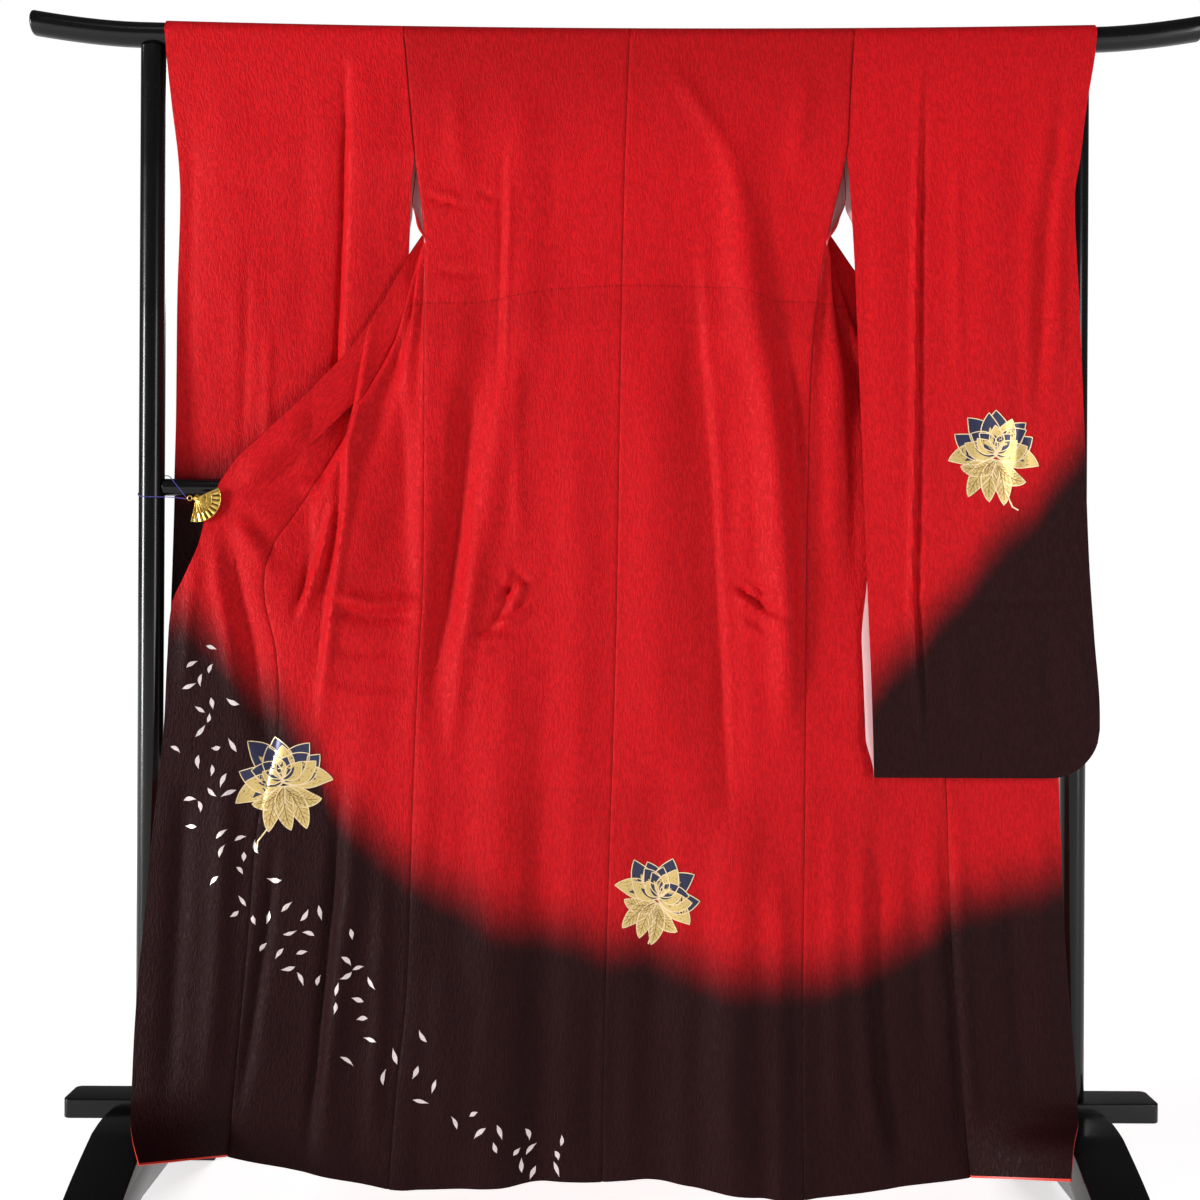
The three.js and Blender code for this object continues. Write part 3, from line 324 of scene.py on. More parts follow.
FREE_EDGE = {
    LEFT: table(
        "s x y z", (0, -86, 18.6, 1652.4), (115, -162, 17, 1546), (230, -233, 14, 1438), (300, -278, 5, 1373),
        (350, -307, -5, 1322), (420, -345, -9, 1253), (500, -403, -14, 1185), (600, -484, -20, 1105),
        (660, -530, -23, 1058), (710, -557, -25, 1006), (760, -571, -27, 951), (800, -588, -28, 910),
        (840, -607, -29, 869), (920, -613, -31, 790), (1030, -617, -33, 690), (1155, -629, -37, 564),
        (1280, -639, -41, 440), (1400, -648, -48, 318), (1494, -648, -64, 207), (1546, -640, -92, 179),
        (1582, -626, -126, 163), (1618, -607, -160, 146)),
    RIGHT: table(
        "s x y z", (0, 120, 18.6, 1652.6), (115, 193, 17, 1549), (230, 263, 14, 1444), (300, 309, 12, 1378),
        (350, 339, 7, 1333), (420, 388, -2, 1272), (500, 444, -10, 1203), (600, 514, -18, 1115),
        (660, 556, -22, 1063), (710, 587, -25, 1016), (760, 599, -27, 962), (800, 604, -28, 920),
        (840, 608, -29, 878), (920, 609, -31, 795), (1030, 610, -33, 690), (1155, 613, -36, 564),
        (1280, 618, -39, 430), (1400, 626, -46, 305), (1494, 629, -64, 204), (1546, 621, -92, 180),
        (1582, 604, -128, 166), (1618, 592, -152, 128)),
}
# How far the gathers across a front stand out.
GATHER = {
    LEFT: table(
        "s size", (0, 0), (50, 2), (115, 9), (175, 12), (230, 9), (290, 16), (350, 20), (420, 15), (500, 12),
        (580, 10), (650, 8), (770, 7), (920, 5), (1280, 5), (1618, 7)),
    RIGHT: table(
        "s size", (0, 0), (50, 2), (115, 8), (175, 11), (230, 8), (290, 15), (350, 17), (420, 13), (500, 9),
        (580, 7), (650, 6), (770, 5), (920, 4), (1280, 4), (1618, 6)),
}
BACK_FOLDS = (  # x at top and foot, z at top and foot, half width, how far it stands out
    (-128, -130, 1600, 1180, 46, 6), (-134, -228, 1250, 720, 34, 8), (-205, -222, 1200, 800, 26, -6),
    (-262, -300, 760, 60, 40, 8), (-150, -160, 900, 60, 60, 9), (-90, -96, 700, 60, 40, -6),
    (168, 182, 1560, 1180, 44, 7), (150, 165, 1200, 560, 30, -6), (205, 246, 1260, 640, 34, 9),
    (170, 168, 640, 60, 56, 11), (60, 62, 700, 60, 44, -6), (225, 232, 560, 60, 34, 9))
CUFF_END_Z, ARM_SEAM_END_Z, SLEEVE_ROUND, LAYERS_SEWN = 1428, 1485, 66, WALL + 0.8
SLEEVE_BELLY = {LEFT: 1.5, RIGHT: 5}
SLEEVE_FOOT_Z = {LEFT: 640, RIGHT: 636}
# how strongly painted shade darkens each sleeve towards the shoulders
SLEEVE_PAINTED_SHADE = {LEFT: 0.2, RIGHT: 0.5}
STRIP_WIDTH = 12                         # of lining that shows at the right sleeve's inner edge
SLEEVE_INNER = {
    LEFT: table(
        "z x y", (1660, -295, -18.6), (1564, -286, -20), (1495, -279, -21), (1442, -284, -9), (1360, -289, 7),
        (1290, -290, 12), (1230, -290, 13.5), (1130, -291, 15), (1017, -291, 16.5), (850, -292, 18),
        (600, -292, 19)),
    RIGHT: table(
        "z x y", (1660, 328, -18.6), (1567, 323, -20), (1497, 319, -21), (1450, 322, -25), (1350, 327, -34),
        (1230, 331, -44), (1094, 336, -50), (877, 345, -52), (742, 351, -54), (600, 355, -56)),
}
SLEEVE_OUTER = {
    LEFT: table(
        "z x y", (1660, -625, -18.6), (1619, -622, -18), (1551, -615, -15), (1482, -607, -12),
        (1428, -605, -8), (1290, -611, 1), (1120, -615, 11), (1041, -618, 15.5), (1017, -618, 16.5),
        (928, -621, 19), (815, -624, 20), (600, -622, 21)),
    RIGHT: table(
        "z x y", (1660, 664, -18.6), (1622, 660, -20.5), (1552, 648, -23), (1482, 639, -26), (1428, 631, -28),
        (1287, 635, -36), (1110, 641, -42), (933, 647, -46), (824, 654, -49), (730, 661, -51),
        (600, 658, -53)),
}
# How far a sleeve's far layer lies behind its near one, and how far the right far cuff is drawn in.
SLEEVE_SPREAD = {
    LEFT: table(
        "z inner middle outer", (1660, 37.2, 37.2, 37.2), (1597, 37, 34, 33), (1543, 33.5, 29, 23),
        (1485, 28, 22, 13), (CUFF_END_Z, 24, 15, LAYERS_SEWN), (1290, 17, 10, LAYERS_SEWN),
        (1041, 10, 8, LAYERS_SEWN), (760, 7, 6, LAYERS_SEWN), (640, LAYERS_SEWN, LAYERS_SEWN, LAYERS_SEWN)),
    RIGHT: table(
        "z inner middle outer", (1660, 37.2, 37.2, 38.5), (1597, 37, 36, 41), (1543, 33.5, 30, 27),
        (1485, 28, 20, 12), (CUFF_END_Z, 16, 12, LAYERS_SEWN + 0.6), (1290, 7, 7, LAYERS_SEWN),
        (1041, 8, 8, LAYERS_SEWN), (760, 8, 7.5, LAYERS_SEWN), (636, LAYERS_SEWN, LAYERS_SEWN, LAYERS_SEWN)),
}
CUFF_DRAWN_IN = table(
    "z x", (1660, 0), (1642, 6), (1610, 36), (1560, 30), (1500, 21), (1455, 13), (CUFF_END_Z, 5), (1290, 0),
    (600, 0))
COLLAR_WIDTH, COLLAR_BACK = 55, 3.1
COLLAR_TILT = table("s back", (0, 0), (200, 5), (290, 17), (350, 18), (420, 14), (480, 4), (600, 0.5),
    (840, 1.5))
# Where the dye turns from red to brown, height z at place x: on the body and on each sleeve.
DYE_LINE = table(
    "x z", (-680, 850), (-601, 861), (-559, 837), (-524, 798), (-500, 760), (-457, 736), (-419, 686),
    (-406, 673), (-392, 627), (-368, 588), (-329, 550), (-278, 515), (-221, 490), (-151, 452), (-81, 430),
    (-11, 420), (59, 402), (129, 385), (198, 374), (257, 372), (344, 392), (410, 432), (466, 464),
    (535, 485), (612, 515), (660, 530))
SLEEVE_DYE_LINE = {
    LEFT: table("x z", (-640, 1054), (-443, 1049), (-280, 1045)),
    RIGHT: table(
        "x z", (320, 752), (351, 766), (380, 800), (417, 836), (448, 879), (479, 914), (517, 962),
        (566, 1001), (600, 1047), (643, 1110), (670, 1150)),
}
# Creases by kind, each with how far it stands out, its width and the x z pairs of the line that it follows.
# A ridge is alike on both sides of its line, a lap is broad on the right of its way and narrow on its left,
# and a step is higher on the right of its way. The right of a line that runs down is the viewer's left.
BACK_CREASES = {
    "ridge": (
        (-10, 26, -172, 1391, -178, 1214, -194, 1134, -204, 1054, -217, 973, -228, 893, -237, 797,
         -246, 636),
        (2.2, 10, -135, 1246, -134, 1054, -128, 926), (4, 14, -186, 990, -196, 893, -211, 797, -223, 637),
        (9, 26, 154, 1505, 179, 1376, 197, 1216, 219, 1056, 233, 896, 246, 735, 255, 639),
        (-4.5, 13, 222, 1312, 239, 1168, 254, 1056, 265, 928, 273, 800),
        (3, 13, 67, 1640, 93, 1584, 128, 1536, 154, 1488, 180, 1376),
        (3.5, 26, -56, 1215, -48, 894, -49, 477), (4.5, 34, 49, 1280, 58, 927, 60, 574),
        (5.5, 34, 309, 351, 321, 190, 348, 78), (-4, 12, 256, 366, 260, 190, 271, 78),
        (4, 30, -228, 412, -220, 75), (-3.5, 22, -12, 381, -15, 76), (3, 24, 153, 414, 162, 77),
        (-2.6, 4, -276, 1434, -227, 1421, -190, 1415), (2.2, 5, -270, 1440, -205, 1424),
        (-2.2, 4, -194, 1439, -155, 1425), (-4, 6, -176, 824, -149, 868, -134, 915),
        (3.6, 7, -164, 824, -139, 862, -122, 905), (-3.4, 5, -162, 843, -117, 876),
        (2.6, 6, -152, 836, -112, 864), (3, 5, -205, 802, -160, 806), (-2.6, 5, -160, 905, -140, 880),
        (-4, 6, 155, 905, 193, 876, 248, 843), (3.2, 7, 160, 893, 200, 862, 240, 838),
        (-2.8, 5, 168, 913, 210, 888), (2.2, 14, -226, 1600, -214, 1440), (2.2, 14, 262, 1620, 250, 1450),
        (-3.4, 4.5, -167, 870, -119, 911), (3, 4.5, -159, 898, -116, 893), (-3, 4.5, -146, 924, -113, 894),
        (-2.8, 4.5, -199, 829, -134, 838), (2.6, 5, -192, 814, -132, 822), (-3.4, 4.5, 162, 903, 228, 844),
        (3, 4.5, 166, 868, 206, 888), (-3, 4.5, 186, 897, 234, 874), (2.6, 5, 167, 851, 212, 820),
        (-2.2, 5, -258, 1330, -206, 1322, -172, 1330)),
    "lap": ((-8, 14, 103, 1424, 117, 1216, 132, 1055, 141, 895, 150, 735, 162, 510),),
    "step": ((-2.4, 5, -151, 1519, -152, 1375, -156, 1214, -161, 1118),),
}
FRONT_CREASES = {
    LEFT: {
        "ridge": (
            (-9, 16, -538, 988, -520, 892, -505, 827, -485, 731, -465, 618),
            (6, 12, -553, 988, -541, 892, -526, 811, -514, 715), (4, 10, -573, 956, -582, 859, -588, 730),
            (5, 16, -528, 988, -486, 940, -447, 892), (-3.5, 12, -514, 1004, -477, 953, -457, 892),
            (4.5, 16, -522, 1029, -464, 1085, -413, 1134), (-4, 12, -514, 1008, -458, 1047, -423, 1082),
            (-3, 8, -398, 812, -340, 800, -270, 806), (3.2, 9, -420, 760, -352, 742, -280, 744),
            (6, 15, -350, 667, -358, 474, -383, 248, -395, 71),
            (-8, 9, -369, 667, -381, 474, -399, 248, -417, 71),
            (-7, 9, -459, 570, -474, 409, -496, 248, -510, 151), (6, 16, -527, 666, -535, 408, -550, 151),
            (-6, 14, -585, 666, -596, 408, -605, 150), (5, 13, -310, 571, -316, 313, -327, 72)),
        "lap": (
            (10, 19, -404, 640, -396, 775, -384, 876, -375, 939, -366, 1015, -363, 1086, -352, 1150,
             -336, 1300),
            (-13, 17, -346, 1320, -364, 1190, -376, 1110, -400, 1053, -421, 1008, -422, 953, -431, 889,
             -452, 828),
            (-8, 24, -306, 1350, -304, 1215, -299, 1150, -293, 1086, -290, 1022, -288, 941, -284, 828)),
        "step": (
            (-4.6, 6, -342, 1295, -359, 1150, -371, 1086, -371, 1015, -380, 939, -388, 876, -398, 775,
             -406, 683),
            (-6, 6.5, -383, 1026, -394, 998, -406, 939, -422, 889, -440, 830),
            (-6, 9, -396, 873, -333, 859, -257, 864)),
    },
    RIGHT: {
        "ridge": (
            (-5.4, 10, 453, 624, 458, 464, 470, 275, 485, 80), (4.4, 12, 470, 600, 476, 420, 492, 110),
            (-4.2, 14, 410, 600, 414, 464, 432, 200), (4.6, 15, 300, 640, 300, 420, 306, 90),
            (-4, 14, 540, 560, 548, 380, 560, 170), (4.4, 17, 580, 620, 590, 420, 596, 220),
            (4, 14, 300, 1240, 300, 1100, 296, 900), (-4, 12, 322, 1230, 330, 1040, 326, 840),
            (4.4, 15, 400, 1130, 430, 960, 430, 700), (-4.2, 14, 500, 1100, 520, 960, 530, 700),
            (4, 14, 590, 960, 578, 820, 574, 680)),
        "step": ((4.4, 12, 351, 599, 348, 376, 359, 220, 390, 60),),
    },
}
HIDDEN_FRONT_CREASES = {
    LEFT: {
        "ridge": (
            (3, 14, -252, 1620, -246, 1470), (-2.6, 12, -214, 1600, -226, 1460),
            (3.2, 12, -170, 1620, -205, 1480), (2.4, 9, -262, 1490, -244, 1420)),
    },
    RIGHT: {
        "ridge": (
            (3, 13, 285, 1622, 282, 1480), (-2.8, 12, 240, 1610, 262, 1470), (3, 12, 200, 1620, 232, 1490),
            (2.2, 9, 292, 1500, 280, 1430)),
    },
}
SLEEVE_CREASES = {
    LEFT: {
        "ridge": (
            (4, 40, -538, 1609, -537, 1381, -529, 1169), (-3, 26, -430, 1610, -429, 1382, -435, 1153),
            (-2, 4, -552, 1446, -516, 1442, -478, 1446), (-2.4, 4, -504, 1167, -478, 1170, -448, 1182),
            (-2.4, 7, -512, 1380, -516, 1240, -524, 1060), (2.2, 7, -484, 1260, -488, 1080),
            (-3.4, 10, -588, 1560, -596, 1300, -600, 1100), (3, 14, -530, 940, -534, 690),
            (3, 12, -330, 980, -336, 700)),
        "lap": (
            (8, 21, -384, 900, -376, 1121, -371, 1219, -367, 1317, -361, 1414, -355, 1529, -355, 1684),
            (-5.5, 12, -372, 1684, -372, 1529, -377, 1414, -383, 1317, -387, 1219, -391, 1121, -397, 900)),
        "step": (
            (-4.5, 4.5, -371, 1684, -371, 1529, -376, 1414, -382, 1317, -386, 1219, -390, 1121, -396, 900),),
    },
    RIGHT: {
        "ridge": (
            (-1.8, 3.5, 340, 878, 498, 878, 664, 877), (2.2, 6, 630, 822, 644, 744),
            (-2.4, 9, 621, 1634, 609, 1506, 589, 1378, 580, 1218, 570, 1074),
            (3.6, 14, 600, 1634, 588, 1506, 568, 1378, 559, 1218, 549, 1074),
            (3.4, 12, 640, 1600, 628, 1506, 610, 1378, 600, 1218, 592, 1110),
            (4.5, 40, 512, 1602, 514, 1314, 502, 1025), (3, 28, 371, 1601, 370, 1313, 378, 928),
            (-2.5, 10, 549, 1282, 553, 1170, 541, 1025), (2.2, 8, 470, 1540, 466, 1300, 470, 1100),
            (2.6, 14, 470, 860, 474, 680), (-2.6, 14, 590, 860, 592, 690)),
        "step": (
            (4.2, 4.2, 433, 1682, 424, 1602, 418, 1486, 414, 1381, 411, 1242, 410, 1150, 409, 1046,
             407, 879, 413, 802, 420, 715, 434, 600),),
    },
}
FAR_SLEEVE_CREASES = {
    LEFT: {
        "ridge": (
            (2.6, 16, -452, 1560, -458, 1300, -450, 1040), (-2.4, 14, -510, 1500, -516, 1200, -512, 900),
            (2.6, 17, -566, 1380, -562, 1120, -568, 820), (-2, 12, -330, 1300, -334, 1020),
            (-1.6, 5, -560, 1000, -500, 990, -430, 1004), (2, 12, -470, 860, -476, 690)),
        "step": ((2.2, 6, -376, 1630, -382, 1380, -394, 1000, -398, 720),),
    },
    RIGHT: {
        "ridge": (
            (2.4, 16, 480, 1500, 474, 1240, 480, 980), (-2.2, 14, 540, 1440, 546, 1180, 540, 900),
            (2.4, 15, 596, 1360, 600, 1100, 602, 800), (-1.6, 5, 360, 872, 500, 880, 640, 870),
            (1.8, 12, 470, 840, 466, 680)),
        "step": ((-2, 6, 420, 1600, 412, 1300, 408, 900, 424, 660),),
    },
}
CREASE_DEPTH = 1.2            # all of them deepened alike
# The waist tuck, stitched across back and fronts; the cloth is double, and a little darker, below it.
TUCK_LINE = table(
    "x z", (-330, 1281), (-265, 1282), (-199, 1283), (-150, 1290), (-76, 1303), (10, 1308), (99, 1308),
    (162, 1304), (217, 1287), (321, 1285), (340, 1285))


# ------------------------------------------------------------------ cloth helpers
SWEEP_FROM, BAR_HALF = 660, 814          # the bar's ends sweep up from here to its ends
RAIL_Z, RAIL_CLEAR = 1029, 15            # the cross rail, and how near to its middle cloth may come
PANEL_WIDTH, OKUMI_WIDTH = 313, 150
HAKKAKE_TOP = 620                        # the top edge of the lower lining cloth (hakkake)
NO_LINE = 60                             # a distance at which the crepe shows no stitched or sewn line
WRAP_STEPS, BODY_STEP, SLEEVE_STEP = 18, 5, 7
NECK_FROM = 0.875                        # the share of the way over the bar where the neck opens
TUCK_FROM_ROW = 56                       # the front's rows above this one don't show the tuck
SMOOTH_Z, SLEEVE_SMOOTH_Z = 1650, 1645   # creases fade out over 60 mm below these heights
BACK_DEEPENED = 1.25                     # the back's creases are deeper still
SLEEVE_COLUMNS, CROWDED = 92, 1.06       # columns of a sleeve, a little closer by its outer edge
POST_RADIUS, RAIL_RADIUS = 17.5, 12
PLANK_LOW, PLANK_HIGH = 158, 185


def bar_z(x):
    """The height of the top bar's middle line, which sags a little and sweeps up at both ends."""
    past = np.maximum(0, np.abs(x) - SWEEP_FROM) / (BAR_HALF - SWEEP_FROM)
    return 1652 + 7.5 * (np.minimum(np.abs(x), SWEEP_FROM) / 645) ** 2 + 16.5 * past ** 1.6


def lerp(a, b, t):
    return a + (b - a) * t


def ease(t):
    t = np.clip(t, 0, 1)
    return t * t * (3 - 2 * t)


def bell(d):
    return np.where(np.abs(d) < 1, 0.5 + 0.5 * np.cos(np.pi * d), 0)


def nearer_seam(share):
    return np.minimum(share, 1 - share)


def held(share, rise):
    """Nought at both sewn edges of a panel, and one a little way in from them."""
    return np.minimum(1, nearer_seam(share) * rise)


def stack(x, y, z):
    return np.stack(np.broadcast_arrays(x, y, z), axis=-1).astype(float)


def unit(vectors):
    return vectors / np.maximum(np.linalg.norm(vectors, axis=-1, keepdims=True), 1e-9)


def normals_of(grid):
    return unit(np.cross(np.gradient(grid, axis=1), np.gradient(grid, axis=0)))


def creased(x, z, creases):
    """How far the creases lift the cloth at x, z."""
    lift = np.zeros(np.broadcast(x, z).shape)
    for kind, (depth, width, *line) in [(kind, row) for kind in creases for row in creases[kind]]:
        points = np.array(line, float).reshape(-1, 2)
        near = np.full(lift.shape, 1e9)
        signed, along = np.zeros(lift.shape), np.zeros(lift.shape)
        run, total = 0.0, np.linalg.norm(np.diff(points, axis=0), axis=1).sum()
        for (ax, az), (bx, bz) in zip(points[:-1], points[1:]):
            dx, dz = bx - ax, bz - az
            size = math.hypot(dx, dz)
            t = np.clip(((x - ax) * dx + (z - az) * dz) / size ** 2, 0, 1)
            ox, oz = x - (ax + t * dx), z - (az + t * dz)
            away = np.hypot(ox, oz)
            closer = away < near
            near = np.where(closer, away, near)
            signed = np.where(closer, np.sign(dz * ox - dx * oz) * away, signed)
            along = np.where(closer, run + t * size, along)
            run += size
        fade = ease(np.minimum(along, total - along) / (0.3 * total) + 0.02)
        d = signed / (width * np.where(signed > 0, 2.3, 0.55) if kind == "lap" else width)
        shape = 1.65 * d * np.exp(-0.5 * d * d) if kind == "step" else np.exp(-d * d)
        lift += CREASE_DEPTH * depth * fade * shape
    return lift


def uneven(x, z, seed, size):
    """Slow waves of the hanging cloth, longer down it than across."""
    rng = np.random.default_rng(seed)
    lift = np.zeros(np.broadcast(x, z).shape)
    for _ in range(9):
        across, down = rng.uniform(34, 120), rng.uniform(140, 480)
        turn, tilt = rng.uniform(0, 2 * np.pi), rng.uniform(-0.35, 0.35)
        wave = np.sin(2 * np.pi * (x + tilt * z) / across + turn) * np.sin(2 * np.pi * z / down + 2.3 * turn)
        lift += rng.uniform(0.3, 1) * wave
    return lift * size / 2.2


def columns_to_seams(width, count):
    """Shares of a panel's width, closer together by its two sewn edges."""
    near = np.array([0, 0.9, 2.0, 3.6]) / width
    inner = np.linspace(7 / width, 1 - 7 / width, count)
    return np.concatenate([near, inner, 1 - near[::-1]])


def clear_of_rail(y, z):
    """Cloth in front of the cross rail lies against it and doesn't reach into it."""
    face = -np.sqrt(np.maximum(0, RAIL_CLEAR ** 2 - (z - RAIL_Z) ** 2))
    return np.where(np.abs(z - RAIL_Z) < RAIL_CLEAR, np.minimum(y, face), y)


def seam_groove(gap):
    """How far a sewn seam draws the cloth in beside it."""
    return -1.5 * np.exp(-(gap / 2.2) ** 2)


def over_bar(x):
    """Rows of cloth that lie round the top of the bar, from its near side to its far side."""
    turn = np.linspace(-1, 1, WRAP_STEPS + 1)[:, None] * np.pi / 2
    return stack(x, WRAP * np.sin(turn), bar_z(x) + WRAP * np.cos(turn))


def lengths_along(path):
    return np.cumsum(np.r_[0, np.linalg.norm(np.diff(path, axis=0), axis=1)])


def cloth_uv(across, along):
    """Places on the flat cloth, in metres, so that ribs and weave keep their size."""
    return np.stack(np.broadcast_arrays(across * MM, along[:, None] * MM), -1)


def even_uv(rows, columns, along=1):
    return np.stack(np.meshgrid(np.linspace(0, 1, columns), np.linspace(0, along, rows)), -1)


def dyed_values(grid, dye_line, edge):
    """What the crepe asks at each point: how far it lies past the dye's line, from the tuck, from a sewn
    edge (on an overlap also from its free edge, which gets a painted shadow line) and below the upper lining."""
    x, z = grid[..., 0], grid[..., 2]
    return {"dye": at(dye_line, "x", x, "z") - z, "tuck": np.full(x.shape, float(NO_LINE)), "edge": edge,
            "hakkake": HAKKAKE_TOP - z}


def add_object(name, data):
    made = bpy.data.objects.new(name, data)
    bpy.context.scene.collection.objects.link(made)
    return made


def shade_smooth(mesh, sharp_from):
    mesh.polygons.foreach_set("use_smooth", np.ones(len(mesh.polygons), bool))
    mesh.set_sharp_from_angle(angle=math.radians(sharp_from))


def mesh_object(name, vertices, faces, materials, face_material=None, uv=None, values=None):
    """A mesh from arrays. faces is one array of quads; uv and values are one row for each vertex."""
    mesh = bpy.data.meshes.new(name)
    mesh.vertices.add(len(vertices))
    mesh.vertices.foreach_set("co", (np.asarray(vertices) * MM).astype(np.float32).ravel())
    faces = np.asarray(faces, np.int32)
    mesh.loops.add(faces.size)
    mesh.loops.foreach_set("vertex_index", faces.ravel())
    mesh.polygons.add(len(faces))
    mesh.polygons.foreach_set("loop_start", np.arange(0, faces.size, faces.shape[1], dtype=np.int32))
    mesh.update(calc_edges=True)
    for material in materials:
        mesh.materials.append(material)
    if face_material is not None:
        mesh.polygons.foreach_set("material_index", np.asarray(face_material, np.int32))
    if uv is not None:
        layer = mesh.uv_layers.new(name="cloth")
        layer.data.foreach_set("uv", np.asarray(uv, np.float32)[faces.ravel()].ravel())
    for key, value in (values or {}).items():
        layer = mesh.attributes.new(key, "FLOAT", "POINT")
        layer.data.foreach_set("value", np.asarray(value, np.float32).ravel())
    mesh.validate()
    shade_smooth(mesh, 52)
    return add_object(name, mesh)


def shell(name, grid, wall, materials, kept=None, uv=None, values=None, near_rows=None, rolled=False):
    """A closed thin shell on a grid of middle points: outer face, inner face and rim, of one material or
    of three. The outer face of its first near_rows rows looks towards the viewer. A rolled shell's last
    row of outer faces is of the rim's material."""
    rows, columns = grid.shape[:2]
    values = values or {}
    if kept is None:
        kept = np.ones((rows - 1, columns - 1), bool)
    if normals_of(grid)[:near_rows, :, 1].mean() > 0:
        grid, kept = grid[:, ::-1], kept[:, ::-1]
        uv = None if uv is None else uv[:, ::-1]
        values = {k: v[:, ::-1] for k, v in values.items()}
    ids = np.arange(rows * columns).reshape(rows, columns)
    a, b, c, d = ids[:-1, :-1][kept], ids[:-1, 1:][kept], ids[1:, 1:][kept], ids[1:, :-1][kept]
    flat, proud = grid.reshape(-1, 3), normals_of(grid).reshape(-1, 3) * (wall / 2)
    vertices = np.concatenate([flat + proud, flat - proud])
    low = rows * columns
    outer = np.stack([a, d, c, b], 1)
    inner = np.stack([a, b, c, d], 1) + low
    edges = {}
    for start, end in ((a, b), (b, c), (c, d), (d, a)):
        for p, q in zip(start.tolist(), end.tolist()):
            if not edges.pop((q, p), False):
                edges[p, q] = True
    rim = np.array([(p, q, q + low, p + low) for p, q in edges], int)
    faces = np.concatenate([outer, inner, rim])
    index = np.repeat(np.arange(3) % len(materials), [len(outer), len(inner), len(rim)])
    if rolled:
        index[len(outer) - columns + 1:len(outer)] = 2
    used = np.unique(faces)
    remap = np.zeros(2 * low, int)
    remap[used] = np.arange(len(used))

    def twice(value):
        return np.concatenate([np.asarray(value, float).reshape(low, -1)] * 2)[used]

    return mesh_object(
        name, vertices[used], remap[faces], materials, index,
        uv=None if uv is None else twice(uv), values={k: twice(v) for k, v in values.items()})


# ------------------------------------------------------------------ the body of the kimono
def back_fold_out(x, z):
    out = np.zeros(np.broadcast(x, z).shape)
    for top_x, foot_x, top_z, foot_z, half, proud in BACK_FOLDS:
        down = (top_z - z) / (top_z - foot_z)
        end = ease((1.02 - down) / 0.25) if foot_z > 100 else 1
        live = (down > 0) & (down <= 1.05)
        fold = proud * ease(down / 0.25) * end * bell((x - lerp(top_x, foot_x, down)) / half)
        out += np.where(live, fold, 0)
    return out


def back_point(side, u, edge_z):
    seam_z = np.maximum(edge_z, 60)
    side_x = at(SIDE_SEAM[side], "z", seam_z, "x") - OUTWARD[side] * HALF_SEAM
    mid_x = at(CENTRE_SEAM, "z", seam_z, "x") + OUTWARD[side] * HALF_SEAM
    x = lerp(side_x, mid_x, u)
    down = (bar_z(side_x) - edge_z) / (bar_z(side_x) - SIDE_HEM_Z[side])
    z = lerp(bar_z(x), at(BACK_HEM, "x", x, "z"), down)
    side_y, mid_y = at(SIDE_SEAM[side], "z", z, "y"), at(CENTRE_SEAM, "z", z, "y")
    return stack(x, lerp(side_y, mid_y, u) - held(u, 8) * back_fold_out(x, z), z)


def edge_at(edges, side, s):
    return stack(*(at(edges[side], "s", s, k) for k in "xyz"))


def front_side(side, s):
    """The front's outer edge: sewn to the sleeve, free below it, then sewn to the back."""
    seam = SIDE_SEAM[side]
    z = lerp(SIDE_TOP_Z, SIDE_HEM_Z[side], (s - SIDE_TOP_S) / (FRONT_LENGTH - SIDE_TOP_S))
    below = stack(at(seam, "z", z, "x"), at(seam, "z", z, "y"), z)
    return np.where((s < SIDE_TOP_S)[..., None], edge_at(FRONT_ARM_EDGE, side, s), below)


def front_point(side, u, s):
    """A point of the front, whose gathers between its two edges turn over below the armhole."""
    start, end = front_side(side, s), edge_at(OVERLAP_SEAM, side, s)
    start[..., 0] -= OUTWARD[side] * HALF_SEAM * np.where(s <= ARM_SEAM_END_S, 1, -1)
    end[..., 0] -= OUTWARD[side] * HALF_SEAM
    step = end - start
    turned = lerp(1.0, -0.28, ease((s - 245) / 70))
    gather = turned * at(GATHER[side], "s", s, "size") * np.sin(4 * np.pi * u)
    size = OUTWARD[side] * gather / np.hypot(step[..., 0], step[..., 1])
    point = start + step * u[..., None]
    point[..., 0] += size * step[..., 1]
    point[..., 1] -= size * step[..., 0]
    return point


def front_lift(side, x, z):
    return creased(x, z, FRONT_CREASES[side]) + uneven(x, z, 5, 0.8)


